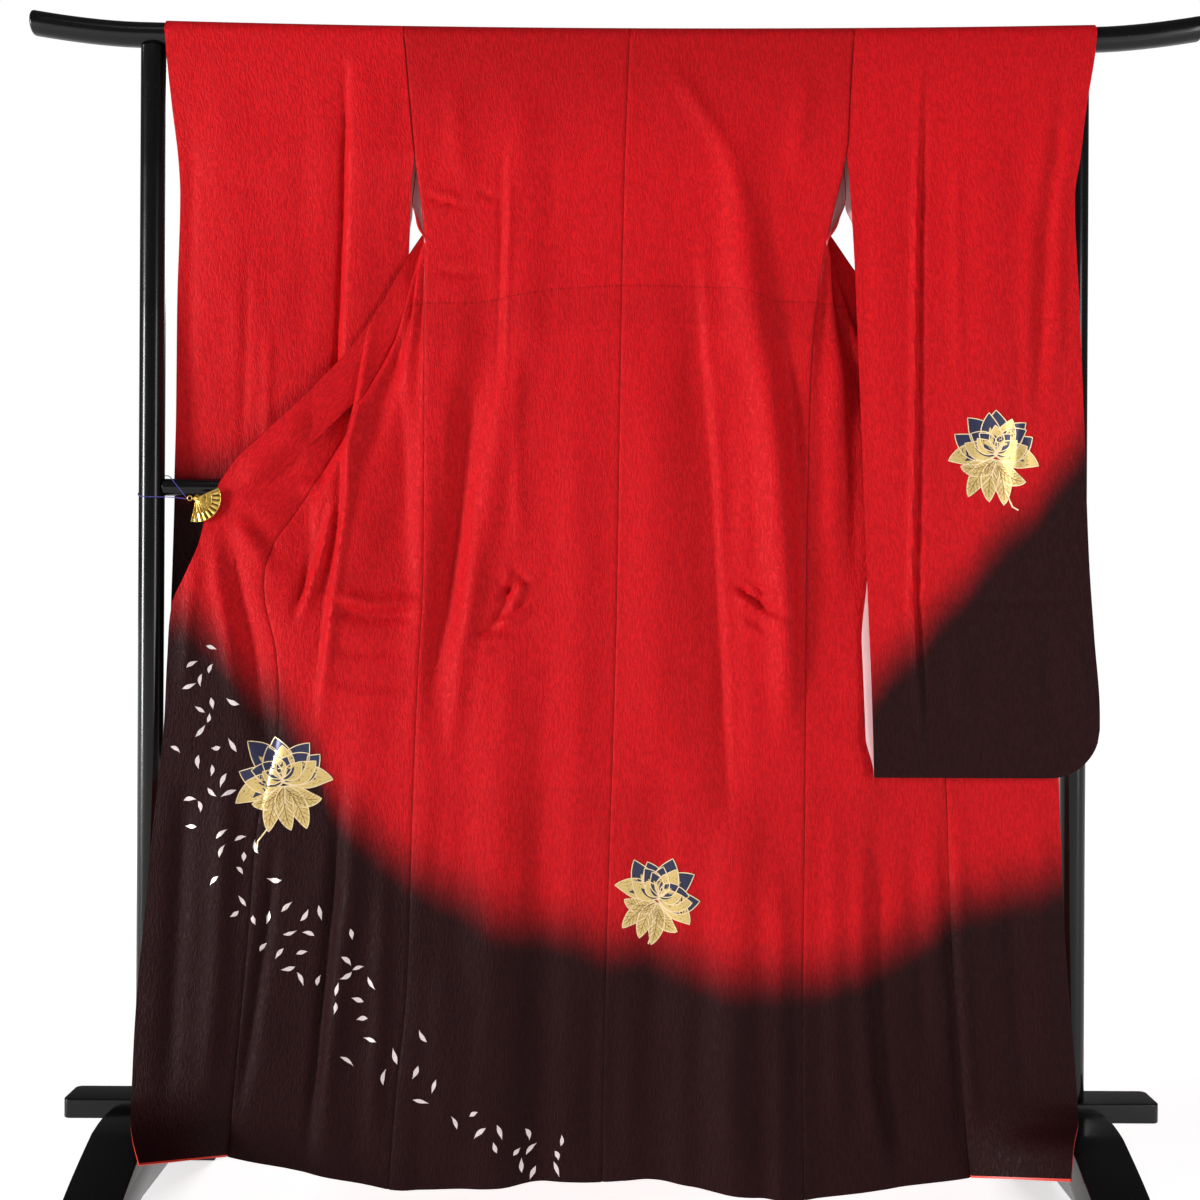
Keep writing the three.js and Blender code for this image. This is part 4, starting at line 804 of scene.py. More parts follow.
def body(side):
    """One length of cloth from the back hem over the shoulder to the front hem. Past the neck the front
    keeps only the outer two thirds of its columns."""
    across_panel, across_neck = columns_to_seams(210, 50), columns_to_seams(104, 14)
    panel = len(across_panel) - 1
    shares = np.concatenate([across_panel * 2 / 3, 2 / 3 + across_neck[1:] / 3])
    front_u = np.concatenate([across_panel, np.ones(len(across_neck) - 1)])
    foot, top = SIDE_HEM_Z[side], float(bar_z(SIDE_SEAM[side]["x"][0]))
    levels = np.linspace(foot, top, int((top - foot) / BODY_STEP))[:-1]
    back = back_point(side, *np.broadcast_arrays(shares[None, :], levels[:, None]))
    edge_x = FRONT_ARM_EDGE[side]["x"][0] - OUTWARD[side] * HALF_SEAM
    mid_x = CENTRE_SEAM["x"][0] + OUTWARD[side] * HALF_SEAM
    wrap = over_bar(lerp(edge_x, mid_x, shares)[None, :])
    spread = np.linspace(0, FRONT_LENGTH, int(FRONT_LENGTH / BODY_STEP))[1:]
    u, s = np.broadcast_arrays(front_u[None, :], spread[:, None])
    front = front_point(side, u, s)

    x, z = back[..., 0], back[..., 2]
    fade = held(shares, 14) * ease((SMOOTH_Z - z) / 60)
    lift = BACK_DEEPENED * creased(x, z, BACK_CREASES) + uneven(x, z, 3, 0.7)
    back[..., 1] -= fade * lift + seam_groove(nearer_seam(shares) * PANEL_WIDTH)
    x, z = front[..., 0], front[..., 2]
    low, high = ease((s - DRAWN_OUT_S) / 60), ease((250 - s) / 60) * ease(s / 50)
    free = np.where(s < OVERLAP_POINT_S, held(u, 14), np.minimum(1, u * 14))
    lift = low * front_lift(side, x, z)
    lift += high * (creased(x, z, HIDDEN_FRONT_CREASES[side]) + uneven(x, z, 8, 0.7))
    width = np.linalg.norm(front[:, panel] - front[:, 0], axis=1)[:, None]
    front[..., 1] += np.where(low > 0, -1.0, 1.0) * (free * lift + seam_groove(nearer_seam(u) * width))
    front[..., 1] = clear_of_rail(front[..., 1], z)

    grid = np.concatenate([back, wrap, front])
    first_front = len(back) + len(wrap)
    neck_row = len(back) + round(WRAP_STEPS * NECK_FROM)
    kept = np.ones((len(grid) - 1, len(shares) - 1), bool)
    kept[neck_row:, panel:] = False
    whole = np.arange(len(grid))[:, None] < neck_row
    width = np.linalg.norm(grid[:, panel] - grid[:, 0], axis=1)[:, None]
    across = np.where(whole, shares * PANEL_WIDTH, front_u * width)
    gap = np.where(whole, nearer_seam(shares) * PANEL_WIDTH, nearer_seam(front_u) * width)
    gap[first_front:][np.ix_(spread < BARE_TO_S, front_u > 0.5)] = NO_LINE
    x, z = grid[..., 0], grid[..., 2]
    values = dyed_values(grid, DYE_LINE, gap)
    from_tuck = z - np.interp(x, TUCK_LINE["x"], TUCK_LINE["z"])
    values["tuck"] = np.where(np.abs(from_tuck) < NO_LINE, from_tuck, NO_LINE)
    values["tuck"][len(back):first_front + TUCK_FROM_ROW] = NO_LINE
    # painted shade: the body's crepe is darkened towards the shoulders
    values["painted_top_shade"] = (z - PAINTED_SHADE_FROM_Z) / PAINTED_SHADE_OVER
    uv = cloth_uv(across, lengths_along(grid[:, 0]))
    made = shell(f"cloth_body_{side}", grid, WALL, [CREPE, LINING, EDGE_ROLL], kept, uv, values, len(back))
    return made


def overlap(side):
    """The overlap panel, from its point under the neck down the front edge to the hem."""
    columns = columns_to_seams(OKUMI_WIDTH, 38)[:-3]
    columns = columns / columns[-1]
    s = np.append(np.linspace(OVERLAP_POINT_S, FRONT_LENGTH - 2.6, 206), FRONT_LENGTH)[:, None]
    seam, edge = edge_at(OVERLAP_SEAM, side, s), edge_at(FREE_EDGE, side, s)
    seam[..., 0] += OUTWARD[side] * HALF_SEAM
    edge[..., 0] += OUTWARD[side] * OVERLAP_TIP * ease((260 - s) / 30)
    u = np.broadcast_to(columns, (len(s), len(columns)))
    grid = seam + (edge - seam) * u[..., None]
    width = np.linalg.norm(grid[:, -1] - grid[:, 0], axis=1)[:, None]
    shown = ease((s - DRAWN_OUT_S) / 60) * (1 - 0.6 * ease((s - 1500) / 60))
    lift = shown * front_lift(side, grid[..., 0], grid[..., 2])
    grid[..., 1] -= lift + np.where(s < DRAWN_OUT_S, 0, 1) * seam_groove(u * width)
    grid[..., 1] = clear_of_rail(grid[..., 1], grid[..., 2])
    gap = np.where(s < BARE_TO_S, NO_LINE, u * width)
    # painted shadow line: high up, the crepe darkens along the overlap's free edge, where it lies over the
    # sleeve
    gap = np.where(s < FREE_EDGE_SHADOW_TO_S, np.minimum(gap, 0.5 * (1 - u) * width + 0.3), gap)
    values, uv = dyed_values(grid, DYE_LINE, gap), cloth_uv(u * width, s[:, 0])
    made = shell(f"cloth_okumi_{side}", grid, WALL, [CREPE, LINING, EDGE_ROLL], None, uv, values, rolled=True)
    return made


# ------------------------------------------------------------------ collar
def collar_arm(side):
    """The collar's path down one front edge, and how far it tilts back there."""
    s = np.arange(60, COLLAR_END_S + 1, 65.0)
    points = edge_at(FREE_EDGE, side, s)
    points[:, 1] += COLLAR_BACK
    return points, at(COLLAR_TILT, "s", s, "back")


def collar_band():
    """The collar: a strip folded down its length, sewn behind the neck and the front edges."""
    x = np.linspace(OVERLAP_SEAM[LEFT]["x"][0], OVERLAP_SEAM[RIGHT]["x"][0], 7)
    neck = stack(x, WRAP + COLLAR_BACK, bar_z(x) - 12)
    (left, left_tilt), (right, right_tilt) = collar_arm(LEFT), collar_arm(RIGHT)
    stations = np.concatenate([left[::-1], neck, right])
    tilt = np.concatenate([left_tilt[::-1], np.zeros(len(neck)), right_tilt])
    line = {"k": np.arange(len(stations), dtype=float), **dict(zip("xyz", stations.T)), "tilt": tilt}
    k = np.linspace(0, len(stations) - 1, 331)
    path = stack(*(at(line, "k", k, c) for c in "xyz"))
    way = unit(np.gradient(path, axis=0))
    inward = COLLAR_WIDTH * unit(np.stack([way[:, 2], 0 * k, -way[:, 0]], 1))
    inward[:, 1] = at(line, "k", k, "tilt")
    out = unit(np.cross(way, inward))
    v = np.linspace(-1, 1, 21)
    reach = 1 - np.abs(v)
    fold = np.sqrt(np.clip(1 - (reach - 0.92).clip(0) ** 2 / 0.08 ** 2, 0, 1))
    depth = np.sign(v) * (0.75 + 0.5 * np.sin(np.pi * reach)) * fold
    grid = path[:, None] + inward[:, None] * reach[:, None] + out[:, None] * depth[:, None]
    along = lengths_along(path)
    values = {"tuck": np.full(grid.shape[:2], NO_LINE), "edge": np.full(grid.shape[:2], NO_LINE)}
    made = shell("cloth_collar", grid, 0.9, [COLLAR_CREPE], None, cloth_uv(v * COLLAR_WIDTH, along), values)
    return made


# ------------------------------------------------------------------ sleeves
def sleeve_spread(side, column, z):
    return np.maximum(LAYERS_SEWN, at(SLEEVE_SPREAD[side], "z", z, column))


def sleeve_inner(side, level, far):
    """A layer's inner edge: sewn to the body above, free below. The far one is sewn to the front, and on
    the right its lining shows as a strip beside the near layer."""
    beside = level >= ARM_SEAM_END_Z
    x, y = (np.where(beside, *(at(t[side], "z", level, k) for t in (SIDE_SEAM, SLEEVE_INNER))) for k in "xy")
    if far:
        y = y + sleeve_spread(side, "inner", level)
        x = x + OUTWARD[side] * 2.5 * ease((level - 640) / 40)
        if side == RIGHT:
            x = x - STRIP_WIDTH * ease((925 - level) / 110) * ease((level - 640) / 50)
        sewn = ease((level - 1396) / 40)
        x, y = (lerp(v, at(FRONT_ARM_EDGE[side], "z", level, k), sewn) for v, k in ((x, "x"), (y, "y")))
    return x, y


def sleeve_point(side, u, level, far):
    x0, y0 = sleeve_inner(side, level, far)
    x0 = x0 + OUTWARD[side] * HALF_SEAM
    outer = SLEEVE_OUTER[side]
    corner_in = np.maximum(0, SLEEVE_ROUND - (1 - u) * np.abs(outer["x"][-1] - x0))
    lift = SLEEVE_ROUND - np.sqrt(SLEEVE_ROUND ** 2 - corner_in ** 2)
    share = (bar_z(x0) - level) / (bar_z(x0) - SLEEVE_FOOT_Z[side])
    lifted = level + lift * share
    outer_x = at(outer, "z", lifted, "x")
    if far and side == RIGHT:
        outer_x = outer_x - at(CUFF_DRAWN_IN, "z", lifted, "x")
    x = lerp(x0, outer_x, u)
    z = lifted + (1 - share) * (bar_z(x) - bar_z(x0))
    inner, middle, edge = (
        sleeve_spread(side, k, lifted) if far else 0.0 for k in ("inner", "middle", "outer"))
    belly = SLEEVE_BELLY[side] * np.sin(np.pi * share) - (middle - (inner + edge) / 2)
    return stack(x, lerp(y0, at(outer, "z", lifted, "y") + edge, u) - belly * np.sin(np.pi * u), z)


def sleeve(side):
    """One length of cloth folded over the bar; the layers are sewn at the foot and below the cuff."""
    u = 1 - (1 - np.linspace(0, 1, SLEEVE_COLUMNS)) ** CROWDED
    foot = SLEEVE_FOOT_Z[side]
    inner_x = SLEEVE_INNER[side]["x"][0] + OUTWARD[side] * HALF_SEAM
    top = float(bar_z(inner_x))
    levels = np.linspace(foot, top, int((top - foot) / SLEEVE_STEP))[:-1]
    near = sleeve_point(side, *np.broadcast_arrays(u[None, :], levels[:, None]), False)
    far = sleeve_point(side, *np.broadcast_arrays(u[None, :], levels[::-1, None]), True)
    for layer, creases, seed in ((near, SLEEVE_CREASES, 21), (far, FAR_SLEEVE_CREASES, 22)):
        x, z = layer[..., 0], layer[..., 2]
        fade = held(u, 12) * ease((SLEEVE_SMOOTH_Z - z) / 60) * ease((z - foot) / 30)
        lift = creased(x, z, creases[side]) + uneven(x, z, seed, 0.6)
        layer[..., 1] += fade * (np.maximum(lift, -1.2) if layer is far else -lift)
    far[..., 1] = np.maximum(far[..., 1], near[::-1, :, 1] + LAYERS_SEWN)
    wrap = over_bar(lerp(inner_x, SLEEVE_OUTER[side]["x"][0], u)[None, :])
    grid = np.concatenate([near, wrap, far])
    z = grid[..., 2]
    across = u * np.abs(grid[:, -1, 0] - grid[:, 0, 0])[:, None]
    values = dyed_values(grid, SLEEVE_DYE_LINE[side], np.where(z > ARM_SEAM_END_Z, across, NO_LINE))
    # painted shade: each sleeve is darkened a little towards the shoulders
    values["painted_top_shade"] = np.clip((z - PAINTED_SHADE_FROM_Z) / PAINTED_SHADE_OVER, 0, 1) * SLEEVE_PAINTED_SHADE[side]
    uv = cloth_uv(across, lengths_along(grid[:, 0]))
    silks = [CREPE, SLEEVE_LINING, CREPE]
    made = shell(f"cloth_sleeve_{side}", grid, WALL, silks, None, uv, values, len(near))
    return made


# ------------------------------------------------------------------ motifs laid on the cloth
class Ground:
    """The near face of some pieces, to lay motifs on."""

    def __init__(self, pieces):
        vertices, faces = [], []
        for piece in pieces:
            start = len(vertices)
            vertices += [v.co.copy() for v in piece.data.vertices]
            faces += [tuple(start + i for i in p.vertices) for p in piece.data.polygons]
        self.tree = BVHTree.FromPolygons(vertices, faces)

    def lay(self, plan, lift):
        """Points of a plan (x, z in mm) as points lying that far off the cloth."""
        out = np.zeros((*plan.shape[:-1], 3))
        for spot in np.ndindex(plan.shape[:-1]):
            x, z = plan[spot] * MM
            place, normal, _, _ = self.tree.ray_cast(Vector((x, -0.6, z)), Vector((0, 1, 0)), 1.2)
            if place is None:
                place, normal, _, _ = self.tree.find_nearest(Vector((x, -0.05, z)))
            if normal.y > 0:
                normal = -normal
            out[spot] = np.array(place + normal * lift * MM) / MM
        return out


def join(name, parts):
    chosen = {"active_object": parts[0], "selected_editable_objects": parts, "selected_objects": parts}
    with bpy.context.temp_override(**chosen):
        bpy.ops.object.join()
    parts[0].name = name
    return parts[0]


class Design:
    """Collects thin foil shapes on one ground and joins them to one piece a foil."""

    def __init__(self, ground, centre=(0, 0), size=1.0, turn=0.0):
        self.ground, self.centre, self.size = ground, np.array(centre, float), size
        self.cos, self.sin = math.cos(math.radians(turn)), math.sin(math.radians(turn))
        self.parts = {}

    def sheet(self, material, plan, lift, thick=0.24):
        x, z = plan[..., 0] * self.size, plan[..., 1] * self.size
        turned = np.stack([x * self.cos - z * self.sin, x * self.sin + z * self.cos], -1)
        grid = self.ground.lay(turned + self.centre, lift)
        made = shell("foil", grid, thick, [material], uv=even_uv(*grid.shape[:2]))
        self.parts.setdefault(material.name, []).append(made)

    def line(self, material, path, width, lift):
        way = unit(np.gradient(path, axis=0))
        side = np.stack([-way[:, 1], way[:, 0]], 1) * width / 2 / self.size
        self.sheet(material, np.stack([path - side, path + side], 1), lift, 0.2)

    def leaf(self, material, root, angle, length, width, lift, bend=0.0, blunt=0.0, rim_width=None,
             veined=False):
        """A pointed leaf or petal from root, with an outline and side veins if asked."""
        steps = 18
        t = np.linspace(0, 1, steps + 1)
        half = width / 2 * np.sin(np.pi * t ** (0.85 - 0.25 * blunt)) ** (0.8 - 0.3 * blunt) + 0.12
        way = math.radians(angle) + bend * (t - 0.3)
        ahead = np.stack([np.cos(way), np.sin(way)], 1)
        side = np.stack([-ahead[:, 1], ahead[:, 0]], 1)
        spine = np.array(root, float) + np.r_[[(0, 0)], np.cumsum(ahead * length / steps, 0)[:-1]]
        plan = spine[:, None] + side[:, None] * half[:, None, None] * np.linspace(-1, 1, 7)[:, None]
        self.sheet(material, plan, lift)
        if rim_width:
            outline = np.concatenate([plan[:, 0], plan[::-1, -1][1:], plan[:1, 0]])
            self.line(GOLD_LINE, outline, rim_width, lift + 0.2)
        if veined:
            self.line(BRONZE, spine[1:-2], 0.9, lift + 0.2)
            for k in range(3, 15, 2):
                for hand in (-1, 1):
                    tip = spine[k + 3] + side[k] * half[k] * 0.78 * hand
                    self.line(BRONZE, np.linspace(spine[k], tip, 4), 0.55, lift + 0.2)

    def finish(self, name):
        for foil_name, parts in self.parts.items():
            piece = join(f"{name}_{foil_name}", parts)
            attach(piece, "root")


FLOWER_LEAVES = ((-40, 43, 1.1), (-68, 50, -0.5), (-97, 46, 0.5), (-126, 50, 0.6), (-152, 40, -1.1))
FLOWER_RINGS = (   # petals: angle, length, width, how far it bends, and whether its cloth is navy
    ((-6, 50, 23, -0.7, 0), (22, 52, 27, 0.4, 1), (55, 52, 27, -0.3, 1), (90, 55, 29, 0.15, 1),
     (124, 52, 27, 0.3, 1), (156, 52, 26, -0.4, 1), (186, 50, 23, 0.7, 0)),
    ((8, 38, 22, 0.5, 0), (42, 40, 23, -0.5, 1), (74, 42, 22, 0.3, 0), (106, 42, 22, -0.3, 1),
     (140, 40, 22, 0.5, 1), (172, 37, 20, -0.5, 0)),
    ((30, 25, 16, 0.6, 0), (64, 28, 16, -0.4, 1), (96, 29, 16, 0.3, 0), (128, 28, 16, 0.4, 1),
     (160, 24, 15, -0.6, 0)))


def blossom(name, ground, centre, size, turn, stem, seed):
    """A full garden flower of the maker's own drawing: pointed petals in three rings, and leaves below."""
    rng = np.random.default_rng(seed)
    design = Design(ground, centre, size, turn)
    for angle, length, bend in FLOWER_LEAVES:
        design.leaf(GOLD_FOIL, (0, -8), angle, length, 19, 0.3, bend, rim_width=1.4, veined=True)
    for ring, petals in enumerate(FLOWER_RINGS):
        root, lift = (0, -4 + 2 * ring), 0.45 + 0.3 * ring
        for angle, length, width, bend, dark in petals:
            angle, length = angle + rng.uniform(-8, 8), length * rng.uniform(0.86, 1.1)
            ground_foil, tongue_foil = (NAVY, GOLD_FOIL) if dark else (GOLD_FOIL, NAVY)
            design.leaf(ground_foil, root, angle, length, width, lift, bend, blunt=-0.5, rim_width=1.3)
            design.leaf(tongue_foil, root, angle + 3, length * 0.66, width * 0.36, lift + 0.12, bend)
    t = np.linspace(0.6, 6.6, 22)
    design.line(GOLD_LINE, np.stack([t * np.cos(1.25 * t), 5 + t * np.sin(1.25 * t)], 1), 1.3, 1.5)
    design.line(GOLD_LINE, np.array(stem, float), 2.0, 0.34)
    design.finish(name)


def silver_petals(ground):
    """Loose petals that drift down over the left front and the back, clear of the front's flower."""
    design = Design(ground)
    stream = table(
        "t x z half", (0, -578, 785, 28), (0.16, -546, 705, 52), (0.34, -520, 560, 62), (0.52, -448, 440, 50),
        (0.68, -352, 330, 48), (0.84, -236, 196, 44), (1, -62, 108, 26))
    count, apart, flower, flower_clear = 74, 17, np.array([-452, 629]), 76
    placed = []
    rng = np.random.default_rng(29)
    while len(placed) < count:
        t = rng.uniform(0, 1)
        x, z, half = (float(at(stream, "t", t, k)) for k in ("x", "z", "half"))
        off = rng.normal(0, 0.55) * half
        spot = np.array([x + off * 0.75, z + off * 0.66])
        if math.dist(spot, flower) < flower_clear or any(math.dist(spot, p) < apart for p in placed):
            continue
        placed.append(spot)
        length, angle = rng.uniform(13, 23), rng.uniform(0, 360)
        way = math.radians(angle)
        root = spot - np.array([math.cos(way), math.sin(way)]) * length / 2
        width = rng.uniform(4.6, 6.4)
        design.leaf(SILVER, root, angle, length, width, 0.3, bend=rng.uniform(-1.1, 1.1), blunt=-1.4)
    design.finish("petals")


# ------------------------------------------------------------------ the stand
def circle(sides):
    angle = np.linspace(0, 2 * np.pi, sides, endpoint=False)
    return np.cos(angle), np.sin(angle)


def closed_solid(name, solid, material, sharp_from):
    """An object from a bmesh of a closed solid, its faces turned outwards."""
    bmesh.ops.recalc_face_normals(solid, faces=solid.faces)
    mesh = bpy.data.meshes.new(name)
    solid.to_mesh(mesh)
    solid.free()
    mesh.materials.append(material)
    shade_smooth(mesh, sharp_from)
    return add_object(name, mesh)


def loft(name, rings, material):
    """A closed solid through rings of equal count, each end closed with a fan of triangles to its middle."""
    rings = np.asarray(rings, float)
    count, sides = rings.shape[:2]
    first, last = count * sides, count * sides + 1
    solid = bmesh.new()
    places = [*rings.reshape(-1, 3), rings[0].mean(0), rings[-1].mean(0)]
    corners = [solid.verts.new(tuple(place * MM)) for place in places]
    turns = [(a, (a + 1) % sides) for a in range(sides)]
    end = first - sides
    faces = [(i + a, i + b, i + sides + b, i + sides + a) for i in range(0, end, sides) for a, b in turns]
    faces += [(first, b, a) for a, b in turns] + [(last, end + a, end + b) for a, b in turns]
    for face in faces:
        solid.faces.new([corners[i] for i in face])
    return closed_solid(name, solid, material, 40)


def rounded_profile(length, radius, round_to, count):
    """Places along a rod and its radius there, with its end edges rounded."""
    turn = np.linspace(0, np.pi / 2, 7)
    start = np.stack([round_to * (1 - np.cos(turn)), radius - round_to + round_to * np.sin(turn)], 1)
    end = np.stack([length - start[::-1, 0], start[::-1, 1]], 1)
    return [*start, *((p, radius) for p in np.linspace(round_to, length - round_to, count)[1:-1]), *end]


def rod(name, start, way, length, radius, round_to):
    start, way = np.array(start, float), np.array(way, float)
    first = np.cross(way, (0, 1, 0))
    cos, sin = circle(64)
    around = cos[:, None] * first + sin[:, None] * np.cross(way, first)
    rings = [start + way * p + around * r for p, r in rounded_profile(length, radius, round_to, 14)]
    return loft(name, rings, LACQUER)


def top_bar():
    """The bar, swept up at both ends, with rounded end edges."""
    cos, sin = circle(64)
    rings = [stack(p - BAR_HALF, r * sin, float(bar_z(p - BAR_HALF)) + r * cos)
             for p, r in rounded_profile(2 * BAR_HALF, BAR_RADIUS, 4, 90)]
    return loft("bar", rings, LACQUER)


def bezier(points, steps=16):
    t = np.linspace(0, 1, steps + 1)[:, None]
    points = [np.array(p, float) for p in points]
    while len(points) > 1:
        points = [lerp(a, b, t) for a, b in zip(points, points[1:])]
    return [*points[0]]


def foot_outline():
    """Half of a foot's side view is drawn and mirrored: y and z of an arch with a notch for the plank."""
    half = [(0, 157.7), (28.3, 157.7), *bezier([(28.3, 171.0), (62.3, 174.5), (102, 166)], 10),
            *bezier([(102, 166), (150, 147), (196, 128), (232, 103)])[1:],
            *bezier([(232, 103), (258, 84), (284, 52), (300, 8)])[1:],
            (300, 0), *bezier([(230, 0), (212, 40), (176, 78), (124, 90)], 20), (0, 90)]
    return half + [(-y, z) for y, z in reversed(half[1:-1])]


def plank_outline():
    x, y, r = 755, 28, 9
    return [(sx * (x - r) + r * math.cos(a), sy * (y - r) + r * math.sin(a))
            for sx, sy, turn in ((1, -1, -90), (1, 1, 0), (-1, 1, 90), (-1, -1, 180))
            for a in np.radians(turn + np.linspace(0, 90, 8))]


def prism(name, outline, low, high, axis, bevel, material):
    """An outline drawn out along an axis, with its long edges rounded."""
    solid = bmesh.new()
    rings = []
    for place in (low, high):
        spots = [(place, a, b) if axis == "x" else (a, b, place) for a, b in outline]
        rings.append([solid.verts.new(Vector(spot) * MM) for spot in spots])
    caps = [solid.faces.new(ring) for ring in rings]
    for i in range(len(outline)):
        j = (i + 1) % len(outline)
        solid.faces.new((rings[0][i], rings[0][j], rings[1][j], rings[1][i]))
    bmesh.ops.recalc_face_normals(solid, faces=solid.faces)
    edges = list({e for cap in caps for e in cap.edges})
    bmesh.ops.bevel(solid, geom=edges, offset=bevel * MM, segments=3, profile=0.5, affect="EDGES")
    return closed_solid(name, solid, material, 38)


# ------------------------------------------------------------------ clip and cord
CLIP_PIVOT = np.array([-573, -31, 1012], float)
CORD_ROUTE = [
    (-588.4, -30.4, 1011), (-605, -27, 1013.4), (-625, -22, 1014), (-645, -18.6, 1014.5),
    (-652.1, -17.2, 1015), (-658.2, -13.2, 1016), (-662.2, -7.1, 1018), (-663.6, 0, 1021),
    (-662.2, 7.1, 1025), (-658.2, 13.2, 1030), (-652.1, 17.2, 1036), (-645, 18.6, 1041),
    (-637.9, 17.2, 1044.5), (-630.5, 12, 1046.2), (-624, 5, 1045.6), (-619, -3, 1043.6),
    (-613, -10.5, 1039), (-603, -19.5, 1028), (-588.6, -30, 1013.6)]
CORD_DIAMETER = 0.0012
FAN_FROM, FAN_SPREAD, FAN_SLATS, PLEAT_STEPS = 24, 126, 9, 6
LEAF_FROM, LEAF_TO = 13, 33              # the pleated leaf's inner and outer radius
FAN_BEADS = ((32.4, 0.55), (20.5, 0.5), (13.4, 0.6))   # how far from the pivot each lies, and its radius
RING_RADIUS, RING_WIRE = 3.2, 0.8


def clip_cord():
    data = bpy.data.curves.new("cord", "CURVE")
    data.dimensions, data.use_fill_caps = "3D", True
    data.bevel_depth, data.bevel_resolution, data.resolution_u = CORD_DIAMETER / 2, 4, 6
    spline = data.splines.new("NURBS")
    spline.points.add(len(CORD_ROUTE) - 1)
    for point, place in zip(spline.points, CORD_ROUTE):
        point.co = (*(Vector(place) * MM), 1)
    spline.order_u, spline.use_endpoint_u = 3, True
    data.materials.append(CORD)
    return add_object("cord_loop", data)


def tube(name, path, radius, sides, closed=False):
    """A gilt tube along points, for beads and the ring."""
    path = np.asarray(path, float)
    way = unit(np.roll(path, -1, 0) - np.roll(path, 1, 0) if closed else np.gradient(path, axis=0))
    first = unit(np.cross(way, (0.0, 1.0, 0.0)))
    cos, sin = (turn[None, :, None] for turn in circle(sides))
    rings = path[:, None] + radius * (cos * first[:, None] + sin * np.cross(way, first)[:, None])
    if not closed:
        return loft(name, rings, GILT)
    ids = np.arange(len(path) * sides).reshape(-1, sides)
    turned = np.roll(ids, -1, 1)
    faces = np.stack([ids, turned, np.roll(turned, -1, 0), np.roll(ids, -1, 0)], -1).reshape(-1, 4)
    return mesh_object(name, rings.reshape(-1, 3), faces, [GILT])


def fan_point(share, radius, depth):
    a = math.radians(FAN_FROM - FAN_SPREAD * share)
    return CLIP_PIVOT + np.array([radius * math.cos(a), depth, radius * math.sin(a)])


def fan_leaf():
    """The fan's pleated leaf, scalloped at its outer edge, with dark grooves between the pleats."""
    count, radii = FAN_SLATS * PLEAT_STEPS, np.linspace(LEAF_FROM, LEAF_TO, 9)
    grid, groove = np.zeros((count + 1, 9, 3)), np.zeros((count + 1, 9))
    for i in range(count + 1):
        groove[i] = i % PLEAT_STEPS in (0, 1)
        wave = abs((i / PLEAT_STEPS * 2) % 2 - 1) * 2 - 1
        for j, radius in enumerate(radii):
            scallop = 0.5 * abs(math.sin(math.pi * i / PLEAT_STEPS)) if j == 8 else 0
            depth = wave * (0.25 + 0.85 * (radius - LEAF_FROM) / (LEAF_TO - LEAF_FROM)) - 0.1
            grid[i, j] = fan_point(i / count, radius - scallop, depth)
    return shell("leaf", grid, 0.8, [GILT], uv=even_uv(count + 1, 9, FAN_SLATS), values={"groove": groove})


def fan_slat(k):
    """One slat; the two end guards are broader and reach to the leaf's edge."""
    guard = k in (0, FAN_SLATS)
    reach, wide = (LEAF_TO, 1.3) if guard else (20.0, 0.75)
    a = math.radians(FAN_FROM - FAN_SPREAD * k / FAN_SLATS)
    across = np.array([math.sin(a), 0, -math.cos(a)])
    grid = np.zeros((9, 3, 3))
    for i, radius in enumerate(np.linspace(3.0, reach, 9)):
        for j, (v, depth) in enumerate(((-1, -1.0), (0, -1.3), (1, -1.0))):
            grid[i, j] = fan_point(k / FAN_SLATS, radius, depth) + across * v * wide * (0.6 + 0.4 * i / 8)
    return shell("slat", grid, 0.7, [GILT], uv=even_uv(9, 3))


def fan_clip():
    """The clip's open folding fan: slats that carry a pleated leaf, end guards, beads and a rivet."""
    parts = [fan_leaf(), *(fan_slat(k) for k in range(FAN_SLATS + 1))]
    for radius, size in FAN_BEADS:
        parts.append(tube("bead", [fan_point(t, radius, -0.9) for t in np.linspace(0, 1, 60)], size, 10))
    cos, sin = circle(28)
    depths = 1.0 - 3.4 * np.sin(np.linspace(0, np.pi / 2, 7))
    radii = 3.3 * np.cos(np.linspace(0, np.pi / 2 - 0.08, 7))
    rivet = [CLIP_PIVOT + stack(r * cos, y, r * sin) for y, r in zip(depths, radii)]
    return join("fan", [*parts, loft("rivet", rivet, GILT)])


def clip_jaw():
    """The jaw behind the cloth: a bent strip with rounded edges, turned to lie along the fan."""
    outline = [(-4, -1.0), (4, -1.0), (4, 10.9), (30, 10.9), (30, 12.1), (-4, 12.1)]
    cos, sin = math.cos(math.radians(39)), math.sin(math.radians(39))
    made = prism("jaw", outline, -4.5, 4.5, "z", 0.3, GILT)
    for v in made.data.vertices:
        x, y, z = v.co / MM
        v.co = Vector(CLIP_PIVOT + (x * cos + z * sin, y, z * cos - x * sin)) * MM
    return made


def clip_ring():
    ring_x = CLIP_PIVOT[0] - (math.hypot(4, 4.5) + 0.3 + RING_RADIUS + RING_WIRE)
    cos, sin = circle(48)
    middle = (ring_x, CLIP_PIVOT[1] + 1, CLIP_PIVOT[2])
    return tube("ring", middle + stack(RING_RADIUS * cos, 0, RING_RADIUS * sin), RING_WIRE, 14, closed=True)


# ------------------------------------------------------------------ build
def stands_for(piece, node):
    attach(piece, "root")
    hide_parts(node)


cord_loop = clip_cord()
stands_for(cord_loop, "clip_cord")

cloth = {}
for side in (LEFT, RIGHT):
    for kind, make in (("body", body), ("okumi", overlap), ("sleeve", sleeve)):
        cloth[kind, side] = make(side)
        stands_for(cloth[kind, side], f"{kind}_{side}")
stands_for(collar_band(), "collar")

